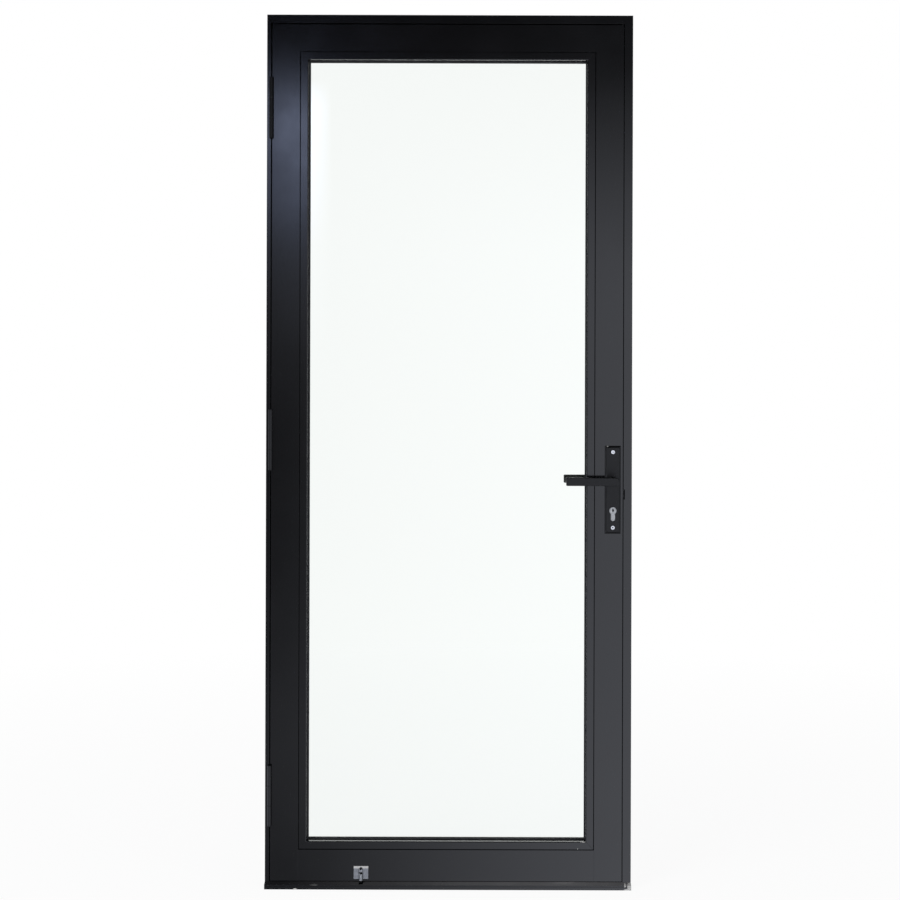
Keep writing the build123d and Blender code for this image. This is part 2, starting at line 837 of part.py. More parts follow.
def spindle():
    """The square spindle through the follower into both levers."""
    half = spindle_width / 2
    reach = leaf_thickness / 2 + neck_face_gap + spindle_socket_depth
    return block(
        (handle_x - half, handle_x + half), (-reach, reach), (lever_height - half, lever_height + half)
    )


def lever_bolt():
    """The bolt thrown by lifting the levers: a bevelled head, a tail, and a yoke over the follower's arm."""
    back = leaf_right - lever_bolt_length
    half = lever_bolt_width / 2
    bevel = lever_bolt_bevel
    nose = outline(
        (back, -half), (leaf_right - bevel, -half), (leaf_right, bevel - half),
        (leaf_right, half - bevel), (leaf_right - bevel, half), (back, half),
    )
    head = extrude(Plane.XY.offset(lever_bolt_low) * nose, lever_bolt_height)
    thin = (-carrier_thickness / 2, carrier_thickness / 2)
    tail_low = lever_bolt_z - lever_bolt_tail_height / 2
    tail_high = lever_bolt_z + lever_bolt_tail_height / 2
    arm_top = lever_height + follower_arm_radius
    yoke_low = arm_top + follower_arm_half_width + yoke_clearance
    yoke_high = yoke_low + yoke_height
    lug_left = handle_x + follower_arm_half_width + lug_clearance
    lug_right = lug_left + lug_width
    tail = block((carrier_left, back), thin, (tail_low, tail_high))
    carrier = block((carrier_left, carrier_right), thin, (tail_low, yoke_high))
    yoke = block((carrier_left, lug_right), thin, (yoke_low, yoke_high))
    lug = block((lug_left, lug_right), thin, (arm_top - lug_drop, yoke_high))
    return head + tail + carrier + yoke + lug


def dead_bolt():
    """The dead bolt, drawn back flush with the forend, with a seat for its tail."""
    half = dead_bolt_width / 2
    bolt = block((leaf_right - dead_bolt_length, leaf_right), (-half, half), (dead_bolt_low, dead_bolt_high))
    return bolt - dead_bolt_tail()


def dead_bolt_tail():
    """The plate let into the dead bolt's side, which the cam reaches beside the cylinder screw."""
    half = dead_bolt_width / 2
    tail_right = lock_front - dead_bolt_throw - dead_bolt_tail_clearance
    return block(
        (tail_right - dead_bolt_tail_width, tail_right),
        (half - dead_bolt_tail_thickness, half),
        (dead_bolt_z, dead_bolt_high + dead_bolt_tail_height),
    )


def cylinder_body():
    """The double cylinder: bored for the two plugs, with a gap for the cam over its bridge."""
    half = cylinder_half_length
    body = through(euro_profile(0), handle_x, cylinder_z, (-half, half))
    bridge_top = cylinder_z - cam_reach - cam_bridge_clearance
    side = cylinder_head_radius + overrun
    cam_gap = block(
        (handle_x - side, handle_x + side), (-cam_gap_half, cam_gap_half), (bridge_top, cylinder_z + side)
    )
    bore_span = (-half - overrun, half + overrun)
    bore = rod("y", plug_radius + running_clearance, bore_span, (handle_x, cylinder_z))
    return body - cam_gap - bore - cylinder_screw()


def key_plug(inner_end):
    """The front plug, with its keyway; the rear one is its mirror image."""
    plug = rod("y", plug_radius, (-cylinder_half_length, inner_end), (handle_x, cylinder_z))
    keyway = block(
        (handle_x - keyway_width / 2, handle_x + keyway_width / 2),
        (-cylinder_half_length - overrun, keyway_depth - cylinder_half_length),
        (cylinder_z + keyway_rise - keyway_height / 2, cylinder_z + keyway_rise + keyway_height / 2),
    )
    return plug - keyway


def cylinder_cam():
    """The cam between the plugs, with its finger down."""
    span = (-cam_half_width, cam_half_width)
    hub = rod("y", cam_hub_radius, span, (handle_x, cylinder_z))
    half = cam_finger_width / 2
    finger = block((handle_x - half, handle_x + half), span, (cylinder_z - cam_reach + half, cylinder_z))
    finger_tip = rod("y", half, span, (handle_x, cylinder_z - cam_reach + half))
    return hub + finger + finger_tip


def plate_blank():
    """The long front backplate with its bevelled rim, bored for the lever's neck and the cylinder."""
    half = plate_width / 2
    plate = block(
        (handle_x - half, handle_x + half),
        (plate_front, leaf_front),
        (lever_height - plate_below, lever_height + plate_above),
    )
    rim = plate.faces().sort_by(Axis.Y)[0].edges()
    plate = chamfer(rim, plate_bevel)
    span = (plate_front - overrun, leaf_front + overrun)
    neck_way = rod("y", neck_radius + running_clearance, span, (handle_x, lever_height))
    return plate - neck_way - cylinder_hole(span)


def front_lever():
    """The front lever: a neck through the backplate and a flat bar with a rounded heel."""
    face = leaf_front - lever_projection
    bar_rear = face + lever_bar_thickness
    length = lever_reach + lever_heel
    bar = Pos((lever_heel - lever_reach) / 2, 0) * Rectangle(length, lever_bar_height)
    heel_corners = bar.vertices().sort_by(Axis.X)[2:]
    bar = fillet(heel_corners, lever_heel_radius)
    tip_corners = bar.vertices().sort_by(Axis.X)[:2]
    bar = fillet(tip_corners, lever_tip_radius)
    bar = through(bar, handle_x, lever_height, (face, bar_rear))
    bar = fillet(bar.faces().sort_by(Axis.Y)[0].edges(), lever_edge_radius)
    neck = rod("y", neck_radius, (bar_rear, leaf_front - neck_face_gap), (handle_x, lever_height))
    return bar + neck - spindle() - set_screw_hole()


def set_screw_hole():
    """The tapped hole in the underside of the front lever's neck."""
    span = (lever_height - neck_radius - overrun, lever_height)
    return rod("z", set_screw_radius, span, (handle_x, set_screw_y()))


def set_screw_y():
    """The set screw stands halfway along the spindle's socket, outside the backplate."""
    return (plate_front + leaf_front - neck_face_gap - spindle_socket_depth) / 2


def set_screw():
    """The set screw, tight against the spindle."""
    span = (lever_height - neck_radius + set_screw_recess, lever_height - spindle_width / 2)
    return rod("z", set_screw_radius, span, (handle_x, set_screw_y()))


# Foot bolt

def bolt_housing_screws():
    """Two flush screws, one each side of the barrel."""
    length = bolt_housing_thickness + leaf_wall + screw_tail
    head_depth = bolt_screw_head_radius - bolt_screw_radius
    screw = countersunk_screw(length, bolt_screw_head_radius, bolt_screw_radius, head_depth)
    offset = bolt_housing_width * bolt_screw_offset_share
    middle = (housing_bottom + housing_top) / 2
    return [placed(screw, (bolt_x + side * offset, housing_front, middle), (0, -1, 0)) for side in (-1, 1)]


def bolt_housing(screws):
    """A cast plate with a bevelled top, a barrel over its upper part and an arch round the bolt below."""
    half = bolt_housing_width / 2
    plate = block((bolt_x - half, bolt_x + half), (housing_front, leaf_front), (housing_bottom, housing_top))
    top_edge = plate.faces().sort_by(Axis.Y)[0].edges().sort_by(Axis.Z)[-1]
    plate = chamfer(top_edge, bolt_housing_bevel)
    bore_radius = bolt_radius + bolt_running_clearance
    barrel_bottom = housing_bottom + bolt_housing_height * bolt_barrel_share
    barrel_span = (barrel_bottom, housing_top - bolt_barrel_drop)
    barrel = rod("z", bore_radius + bolt_barrel_wall, barrel_span, (bolt_x, bolt_y))
    bore = rod("z", bore_radius, (barrel_bottom, housing_top + overrun), (bolt_x, bolt_y))
    arch = rod("z", bore_radius + bolt_barrel_wall, (housing_bottom - overrun, barrel_bottom), (bolt_x, bolt_y))
    return cut_all(plate + barrel, [bore, arch] + screws)


def foot_bolt():
    """The round bolt that drops into the sill."""
    span = (leaf_bottom + bolt_tip_rise, housing_top - bolt_top_margin)
    return rod("z", bolt_radius, span, (bolt_x, bolt_y))


# The whole door, one node for each piece or set of like fasteners

def build_frame(nodes):
    """The fixed frame and what is screwed to it."""
    frame_flap_face = opening_left + flap_thickness
    hinge_side_screws = hinge_screws(frame_flap_face, 1, frame_wall)
    strike_side_screws = strike_screws()
    nodes["frame_head"] = member(frame_section(head_face), "top", frame_height, (opening_left, opening_right))
    nodes["frame_hinge_jamb"] = frame_hinge_jamb(hinge_side_screws)
    nodes["frame_lock_jamb"] = frame_lock_jamb(strike_side_screws)
    nodes["frame_sill"] = frame_sill()
    nodes["frame_corner_cleats"] = frame_corner_cleats()
    nodes["frame_stops"] = [frame_stop(side) for side in frame_edges]
    seal_names = {"left": "hinge_side", "right": "lock_side", "top": "head", "bottom": "sill"}
    for side, name in seal_names.items():
        nodes[f"frame_seal_{name}"] = frame_seal(side)
    nodes["strike_plate"] = strike_plate(strike_side_screws)
    nodes["strike_screws"] = strike_side_screws
    nodes["hinge_frame_screws"] = hinge_side_screws
    washers = []
    caps = []
    for name, height in hinge_heights.items():
        lower, middle, upper = knuckle_spans(height)
        nodes[f"hinge_{name}_frame_leaf"] = hinge_flap(
            opening_left, frame_flap_face, (lower, upper), height, pin_radius, hinge_side_screws
        )
        nodes[f"hinge_{name}_pin"] = hinge_pin(height)
        washers += hinge_washers(height)
        caps.append(hinge_pin_cap(height))
    nodes["hinge_washers"] = washers
    nodes["hinge_pin_caps"] = caps


def build_leaf(nodes):
    """The leaf, its glazing, its halves of the hinges and the parts of the lock that stay still."""
    leaf_flap_face = leaf_left - flap_thickness
    screws = hinge_screws(leaf_flap_face, -1, leaf_wall)
    nodes["hinge_stile"] = cut_all(leaf_stile("left", leaf_left, 0), screws)
    nodes["lock_stile"] = lock_stile()
    nodes["top_rail"] = leaf_rail("top", leaf_top, top_rail_face)
    housing_screws = bolt_housing_screws()
    nodes["bottom_rail"] = cut_all(leaf_rail("bottom", leaf_bottom, bottom_rail_face), housing_screws)
    nodes["leaf_corner_cleats"] = leaf_corner_cleats()
    bead_names = {"left": "hinge_side", "right": "lock_side", "top": "top", "bottom": "bottom"}
    for side, name in bead_names.items():
        nodes[f"glazing_bead_{name}"] = glazing_bead(side)
    nodes["glass_pane"] = rebate_panel(glass_edge_gap, (glass_front, glass_rear))
    nodes["front_glazing_gasket"] = glazing_gasket((bead_rear, glass_front))
    nodes["rear_glazing_gasket"] = glazing_gasket((glass_rear, leg_front))
    nodes["setting_blocks"] = setting_blocks()
    for name, height in hinge_heights.items():
        lower, middle, upper = knuckle_spans(height)
        nodes[f"hinge_{name}_door_leaf"] = hinge_flap(
            leaf_left, leaf_flap_face, (middle,), height, pin_radius + running_clearance, screws
        )
    nodes["hinge_door_screws"] = screws
    nodes["lock_case"] = lock_case()
    nodes["lock_cover"] = lock_cover()
    nodes["lock_forend"] = lock_forend()
    nodes["lock_screws"] = forend_screws() + [cylinder_screw()]
    nodes["cylinder_body"] = cylinder_body()
    nodes["handle_screws"] = handle_screws()
    plate = plate_blank()
    nodes["front_backplate"] = cut_all(plate, placed_screw_ways())
    rear = mirror(plate, about=Plane.XZ)
    bite = (leaf_rear - overrun, leaf_rear + handle_screw_bite)
    nodes["rear_backplate"] = cut_all(rear, handle_screw_holes(handle_screw_radius, bite))
    nodes["bolt_housing"] = bolt_housing(housing_screws)
    nodes["bolt_housing_screws"] = housing_screws


def placed_screw_ways():
    """Countersunk ways for the handle screws in the front backplate."""
    length = plate_thickness + overrun
    way = countersunk_screw(length, handle_screw_head_radius, handle_screw_radius, handle_screw_head_depth)
    return [placed(way, (handle_x, plate_front, z), (0, -1, 0)) for z in handle_screw_heights()]


def build_moving(nodes):
    """The levers with their spindle, the bolts, the key plugs and the foot bolt."""
    lever = front_lever()
    screw = set_screw()
    nodes["front_lever"] = lever
    nodes["rear_lever"] = mirror(lever, about=Plane.XZ)
    nodes["spindle"] = spindle()
    nodes["follower"] = follower()
    nodes["lever_set_screws"] = [screw, mirror(screw, about=Plane.XZ)]
    nodes["lever_bolt"] = lever_bolt()
    nodes["dead_bolt"] = dead_bolt()
    nodes["dead_bolt_tail"] = dead_bolt_tail()
    nodes["front_key_plug"] = key_plug(-cam_half_width)
    nodes["cylinder_cam"] = cylinder_cam()
    nodes["rear_key_plug"] = mirror(key_plug(-cam_gap_half), about=Plane.XZ)
    nodes["foot_bolt"] = foot_bolt()


def main():
    """Builds every node and writes one file for each."""
    nodes = {}
    build_frame(nodes)
    build_leaf(nodes)
    build_moving(nodes)
    os.makedirs("parts", exist_ok=True)
    for name, piece in nodes.items():
        solids = []
        for item in piece if isinstance(piece, list) else [piece]:
            solids += item.solids()
        export_step(solids[0] if len(solids) == 1 else Compound(children=solids), f"parts/{name}.step")


main()
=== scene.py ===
import math
from typing import NamedTuple

import bmesh
import bpy
from bpy.props import FloatProperty, FloatVectorProperty, PointerProperty
from mathutils import Matrix, Vector


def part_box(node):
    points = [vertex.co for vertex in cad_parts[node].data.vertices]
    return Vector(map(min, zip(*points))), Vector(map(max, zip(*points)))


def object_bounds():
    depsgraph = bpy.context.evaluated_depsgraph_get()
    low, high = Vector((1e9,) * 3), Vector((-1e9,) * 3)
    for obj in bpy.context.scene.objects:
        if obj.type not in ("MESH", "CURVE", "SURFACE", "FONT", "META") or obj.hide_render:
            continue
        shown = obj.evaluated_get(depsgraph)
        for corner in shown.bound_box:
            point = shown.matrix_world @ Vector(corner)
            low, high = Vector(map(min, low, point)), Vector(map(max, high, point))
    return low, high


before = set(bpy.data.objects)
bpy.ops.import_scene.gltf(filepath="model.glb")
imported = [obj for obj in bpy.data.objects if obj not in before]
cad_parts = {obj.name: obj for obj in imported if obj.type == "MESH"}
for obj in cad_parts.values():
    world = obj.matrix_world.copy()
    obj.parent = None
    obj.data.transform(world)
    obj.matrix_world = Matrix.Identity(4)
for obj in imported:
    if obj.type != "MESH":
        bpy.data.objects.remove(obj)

bl_info = {
    "name": "Glazed aluminium door",
    "version": (1, 0, 0),
    "blender": (4, 5, 0),
    "location": "View3D > Sidebar > Door",
    "description": "Finishes and a plain studio for a glazed aluminium door in its frame",
    "category": "Object",
}

MM = 0.001
CAD_LOW, CAD_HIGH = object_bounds()

# CAD nodes that share a finish
FRAME_BARS = ("frame_head", "frame_hinge_jamb", "frame_lock_jamb", "frame_stops")
LEAF_BARS = ("hinge_stile", "lock_stile", "top_rail", "bottom_rail")
BEADS = ("glazing_bead_top", "glazing_bead_bottom", "glazing_bead_hinge_side", "glazing_bead_lock_side")
HINGES = ("top", "middle", "bottom")
SEALS = ("frame_seal_head", "frame_seal_sill", "frame_seal_hinge_side", "frame_seal_lock_side")
GASKETS = ("front_glazing_gasket", "rear_glazing_gasket")
KEY_PLUGS = ("front_key_plug", "rear_key_plug")

# Patterns of the finishes: how far across their grains are, and how many finer layers lie in them.
# Orange peel, grit and tool lines keep their real size: from afar they only soften what the surface mirrors
ORANGE_PEEL = (1.1 * MM, 2)
COAT_CLOUDS = (180 * MM, 4)
COAT_GRIT = (0.35 * MM, 1)
RAGGED_EDGE = (2.5 * MM, 3)
WIPING_MARKS = (120 * MM, 5)
RUBBER_BLOOM = (30 * MM, 4)
RUBBER_GRAIN = (0.6 * MM, 2)
TOOL_LINES = (0.8 * MM, 3)
METAL_STAINS = (9 * MM, 4)
NOISE_ROUGHNESS = 0.55
# Nearly all values of a noise lie between these two
NOISE_SPAN = (0.3, 0.7)

# Powder coat
PEEL_DEPTH = 0.01 * MM
PEEL_STRENGTH = 0.5
EDGE_RADIUS = 0.6 * MM
CLOUD_DARK_SHARE = 0.8
CLOUD_LIGHT_SHARE = 1.25
CLOUD_GLOSS = 0.02
GRIT_GLOSS = 0.02
# Dust on upward faces; it grows towards the lock side, which paints in the brighter reflection there
DUST_AND_LIGHT_COLOUR = "8a8a8c"
DUST_SLOPE = (0.2, 0.6)
DUST_AND_LIGHT_SWEEP = (-400 * MM, 150 * MM)
DUST_AND_LIGHT_SHARES = (0.1, 1.0)
DUST_CLOUD_SHARES = (0.7, 1.0)
# Pale scuffs, also used as painted highlights where an edge catches the light
SCUFF_AND_HIGHLIGHT_COLOUR = "d8d8d4"
SCUFF_AND_HIGHLIGHT_ROUGHNESS = 0.7
BARE_COLOUR = "c2c2bf"
BARE_ROUGHNESS = 0.5
BARE_METALLIC = 0.35

# Glass and rubber
GLASS_IOR = 1.45
WIPE_STRETCH = (1, 1, 0.4)
WIPE_SPAN = (0.45, 0.8)
WIPE_ROUGHNESS = 0.015
BLOOM_GAIN = 1.8
BLOOM_LIFT = 0.004
RUBBER_ROUGHNESS = (0.6, 0.75)
RUBBER_DEPTH = 0.03 * MM
RUBBER_STRENGTH = 0.4

# Metal
STAIN_DARK_SHARE = 0.72
LINE_GLOSS = (-0.06, 0.08)
LINE_DEPTH = 0.015 * MM
LINE_STRENGTH = 0.5
# Painted highlight: a pale matt top on upward faces of metal, for light falling from above
TOP_HIGHLIGHT_COLOUR = "bfbfbf"
TOP_HIGHLIGHT_SLOPE = (0.3, 0.6)
# Painted shade in recesses, bores and hollows, and how far it fades at a hollow's rim
PAINTED_SHADE_COLOUR = "141414"
HOLLOW_SHADE_COLOUR = "0c0c0c"
HOLLOW_SHADE_FADE = 0.6 * MM

# Where a mark fades out at its edge, and how far noise pushes the edge in and out, as shares of its size
MARK_FADE_SHARES = (0.85, 1.0)
MARK_RAGGED_SHARES = (-0.5, 0.5)

# The sill's worn corner is three patches: the middle's distance from the end and height, then half the width
# and half the height, all as shares of the corner's width and height, and how deep the patch reaches
BARE_PATCHES = (
    (0.2, 0.5, 0.36, 0.62, 20 * MM),
    (0.86, 0.66, 0.13, 0.26, 20 * MM),
    (0.6, 0.0, 0.5, 0.2, 6 * MM),
)

# Marks on the sill and the bottom bead: place along the door from its middle, height, reach and strength
SILL_SCRATCH_X = -366 * MM
SILL_SCRATCH_HEIGHT = 1.5 * MM
SILL_SCRATCH_LENGTH_SHARE = 4
SILL_SMEAR_X = -320 * MM
SILL_SMEAR_HEIGHT = 11 * MM
SILL_SMEAR_REACH = (9 * MM, 6 * MM, 2.2 * MM)
SILL_SMEAR_STRENGTH = 0.08
SILL_FILM_X = 279 * MM
SILL_FILM_REACH = (26 * MM, 14 * MM, 3 * MM)
SILL_FILM_STRENGTH = 0.05
# Dust on the sill's slope, with painted light towards the lock side
SILL_DUST_AND_LIGHT = 0.42
SPECK_DEPTH = 4 * MM
BEAD_SPECK_X = 312 * MM
BEAD_SPECK_HEIGHT = 95 * MM
BEAD_SPECK_STRENGTH = 0.6
BEAD_SMUDGE_X = 325 * MM
BEAD_SMUDGE_REACH = (6 * MM, 6 * MM, 1.5 * MM)
BEAD_SMUDGE_STRENGTH = 0.5

# Marks on the handles, the cylinder and the foot bolt: a painted highlight on a backplate, and painted
# shades
# Painted highlight on the backplate's bevelled top corner, where it catches the light
CORNER_HIGHLIGHT_INSET = 6 * MM
CORNER_HIGHLIGHT_DEPTH = 2 * MM
CORNER_HIGHLIGHT_DROP = 1 * MM
CORNER_HIGHLIGHT_REACH = (1.4 * MM, 6 * MM, 1.4 * MM)
CORNER_HIGHLIGHT_STRENGTH = 0.5
SCREW_HEAD_RADIUS = 4.5 * MM
# Painted shade in the screws' driver recesses
SCREW_RECESS_SHADE_REACH = (2 * MM, 9 * MM, 2 * MM)
# Painted shade in and round the key slot, and the depth from which the slot's faces turn black
KEY_SLOT_SHADE_RISE = 0.4 * MM
KEY_SLOT_SHADE_REACH = (2.4 * MM, 9 * MM, 5.4 * MM)
KEY_SLOT_SHADE_DEPTH = 0.2 * MM
# Painted shade under the foot bolt's barrel, in the bore at its top, and at the rod's top
BARREL_SHADE_DROP = 14 * MM
BARREL_SHADE_REACH = (5.5 * MM, 9 * MM, 3 * MM)
BORE_SHADE_DROP = 4.5 * MM
BORE_SHADE_REACH = (4 * MM, 9 * MM, 2.2 * MM)
ROD_TOP_SHADE_REACH = (9 * MM, 20 * MM, 3 * MM)

# Floor and lamps, in metres
FLOOR_WIDTH = 16
FLOOR_DROP = 0.5 * MM
FLOOR_SHADING = 0.07
FLOOR_SHADING_SPAN = (0.6, 4.0)
LAMP_TARGET = (0, 0, 1.0)
KEY_LAMP_PLACE = (-2.4, -3.2, 3.4)
KEY_LAMP_SIZE = (2.2, 2.2)
FILL_LAMP_PLACE = (2.8, -3.0, 1.2)
FILL_LAMP_SIZE = (2.0, 2.0)
FILL_LAMP_SHARE = 0.5
VIEW_END = 60

# What mirrors see round the door. A band is an axis of the mirrored direction, where on it a change of light
# begins and ends, and the light's share at both
ROOM_HUE = "eff3ff"
ROOM_BANDS = (
    ("Z", 0.065, 0.165, 1.0, 0.07),  # the ceiling is dark
    ("Z", -0.27, -0.1, 1.2, 1.0),  # the floor is a little lighter than the walls
    ("Z", -0.75, -0.3, 0.3, 1.0),  # and darker straight down
    ("X", 0.15, 0.5, 1.0, 0.45),  # far out at the lock side it is dimmer
    ("Y", -0.3, 0.3, 1.0, 0.8),  # and so it is behind the door
)
SIDE_SPAN = (-0.1, 0.07)
HINGE_SIDE_LEVEL = 0.181
LOCK_SIDE_LEVEL = 1.582
FAR_SIDE_SPAN = (-0.6, -0.3)
FAR_SIDE_LEVEL = 0.678
# A pale patch low down at the hinge side
PATCH_LEVEL = 0.249
PATCH_BANDS = (("Z", -0.19, -0.08, 1.0, 0.0), ("Z", -0.25, -0.205, 0.2, 1.0))
# A soft window high up at the hinge side
WINDOW_HUE = "cad8ff"
WINDOW_LEVEL = 8.0
WINDOW_FULL_HUE_LEVEL = 1.6
WINDOW_BANDS = (
    ("X", -0.125, -0.1, 0.0, 1.0),
    ("X", -0.092, -0.08, 1.0, 0.0),
    ("Z", 0.0, 0.07, 0.0, 1.0),
    ("Z", 0.07, 0.138, 0.12, 1.0),
    ("Z", 0.143, 0.157, 1.0, 0.0),
    ("Y", -0.5, 0.0, 1.0, 0.0),
)


class Mark(NamedTuple):
    """A patch of wear, soil, painted shade or painted highlight: its middle, its reach from there on each
    axis, and how strongly it shows.
    """

    middle: tuple
    reach: tuple
    strength: float = 1.0


def srgb(code):
    """A colour written as six hex digits, as the linear values that shaders take."""
    channels = [int(code[i:i + 2], 16) / 255 for i in (0, 2, 4)]
    return tuple(c / 12.92 if c <= 0.04045 else ((c + 0.055) / 1.055) ** 2.4 for c in channels)


# Settings

class DoorFinish(bpy.types.PropertyGroup):
    """Colours and gloss of the door's surfaces."""

    coat_colour: FloatVectorProperty(
        name="Powder coat", description="Colour of the coated aluminium",
        default=srgb("050506"), size=3, min=0, max=1, subtype="COLOR",
    )
    coat_roughness: FloatProperty(
        name="Coat roughness", description="Gloss of the powder coat, lower is shinier",
        default=0.085, min=0, max=1, subtype="FACTOR",
    )
    handle_colour: FloatVectorProperty(
        name="Handle coat", description="Colour of the coated levers and backplates",
        default=srgb("060607"), size=3, min=0, max=1, subtype="COLOR",
    )
    glass_tint: FloatVectorProperty(
        name="Glass tint", description="Colour that the pane gives to what is behind it",
        default=srgb("f9fcfa"), size=3, min=0, max=1, subtype="COLOR",
    )
    steel_colour: FloatVectorProperty(
        name="Zinc plate", description="Colour of the plated screws, spindle and lock case",
        default=srgb("e3e4e6"), size=3, min=0, max=1, subtype="COLOR",
    )
    nickel_colour: FloatVectorProperty(
        name="Satin nickel", description="Colour of the lock cylinder",
        default=srgb("bcbcba"), size=3, min=0, max=1, subtype="COLOR",
    )


class DoorWear(bpy.types.PropertyGroup):
    """Where the coat is worn or marked."""

    bare_corner_width: FloatProperty(
        name="Bare corner width", description="Width of the worn patch at the sill's lock end",
        default=17 * MM, min=0, unit="LENGTH",
    )
    bare_corner_height: FloatProperty(
        name="Bare corner height", description="Height of the worn patch at the sill's lock end",
        default=17 * MM, min=0, unit="LENGTH",
    )
    fleck_size: FloatProperty(
        name="Fleck size", description="Size of the pale specks on the sill and beads",
        default=2.2 * MM, min=0, unit="LENGTH",
    )


class DoorStage(bpy.types.PropertyGroup):
    """Camera and light."""

    camera_distance: FloatProperty(
        name="Camera distance", description="From the camera to the leaf's front face",
        default=4.5, min=0.5, unit="LENGTH",
    )
    camera_side: FloatProperty(
        name="Camera side", description="How far the camera stands to the lock side of the middle",
        default=0.08, unit="LENGTH",
    )
    camera_height: FloatProperty(
        name="Camera height", description="Height of the camera over the floor",
        default=1.227, unit="LENGTH",
    )
    view_width: FloatProperty(
        name="View width", description="Width of the picture at the leaf's front face",
        default=2.1646, min=0.1, unit="LENGTH",
    )
    camera_roll: FloatProperty(
        name="Camera roll", description="Turn of the camera about its own line of sight",
        default=math.radians(0.168), subtype="ANGLE",
    )
    view_shift: FloatVectorProperty(
        name="View shift", description="Shift of the picture that frames the door, as a share of its width",
        default=(-0.03607, -0.07981), size=2,
    )
    lamp_power: FloatProperty(
        name="Lamp power", description="Power of the main soft lamp",
        default=120.0, min=0, unit="POWER",
    )
    world_level: FloatProperty(
        name="World level", description="Strength of the even light from all round",
        default=0.4, min=0,
    )


# Nodes and materials

# Sockets of a Mix node that mixes colours: the share of the colour on top, both colours, and the result
SHARE, UNDER, OVER, MIXED = 0, 6, 7, 2
# Sockets of the two values of a Mix node that mixes numbers
VALUE_UNDER, VALUE_OVER = 2, 3


def add_node(tree, kind, inputs=(), output=0, **settings):
    """Adds one shader node with its settings and links, and gives back the output that is wanted from it.

    The inputs are values or other nodes' outputs, in the node's own order or by socket. A node that has no
    output gives back itself.
    """
    made = tree.nodes.new(kind)
    for name, value in settings.items():
        setattr(made, name, value)
    by_socket = inputs if isinstance(inputs, dict) else dict(enumerate(inputs))
    for socket, value in by_socket.items():
        target = made.inputs[socket]
        if isinstance(value, bpy.types.NodeSocket):
            tree.links.new(value, target)
        elif target.type == "RGBA":
            target.default_value = (*value[:3], 1)
        else:
            target.default_value = value
    return made.outputs[output] if made.outputs else made


def new_material(name):
    """An empty node material, its node tree and the Object coordinates that its patterns lie on."""
    material = bpy.data.materials.new(name)
    material.use_nodes = True
    tree = material.node_tree
    tree.nodes.clear()
    place = add_node(tree, "ShaderNodeTexCoord", output="Object")
    return material, tree, place


def mark_share(tree, place, mark, edge_noise):
    """How far a point lies inside a mark, 1 well within it and 0 outside; noise breaks its edge up."""
    local = add_node(tree, "ShaderNodeMapping", {
        "Vector": place,
        "Location": [-middle / reach for middle, reach in zip(mark.middle, mark.reach)],
        "Scale": [1 / reach for reach in mark.reach],
    })
    distance = add_node(tree, "ShaderNodeVectorMath", [local], "Value", operation="LENGTH")
    push = add_node(tree, "ShaderNodeMapRange", (edge_noise, *NOISE_SPAN, *MARK_RAGGED_SHARES))
    broken = add_node(tree, "ShaderNodeMath", (distance, push), operation="ADD")
    return add_node(tree, "ShaderNodeMapRange", (broken, *MARK_FADE_SHARES, 1.0, 0.0))


def upward_share(tree, slope, most):
    """How far a surface faces up: nothing below the first slope, the most from the second one on."""
    facing = add_node(tree, "ShaderNodeTexCoord", output="Normal")
    rise = add_node(tree, "ShaderNodeSeparateXYZ", [facing], "Z")
    return add_node(tree, "ShaderNodeMapRange", (rise, *slope, 0.0, most))


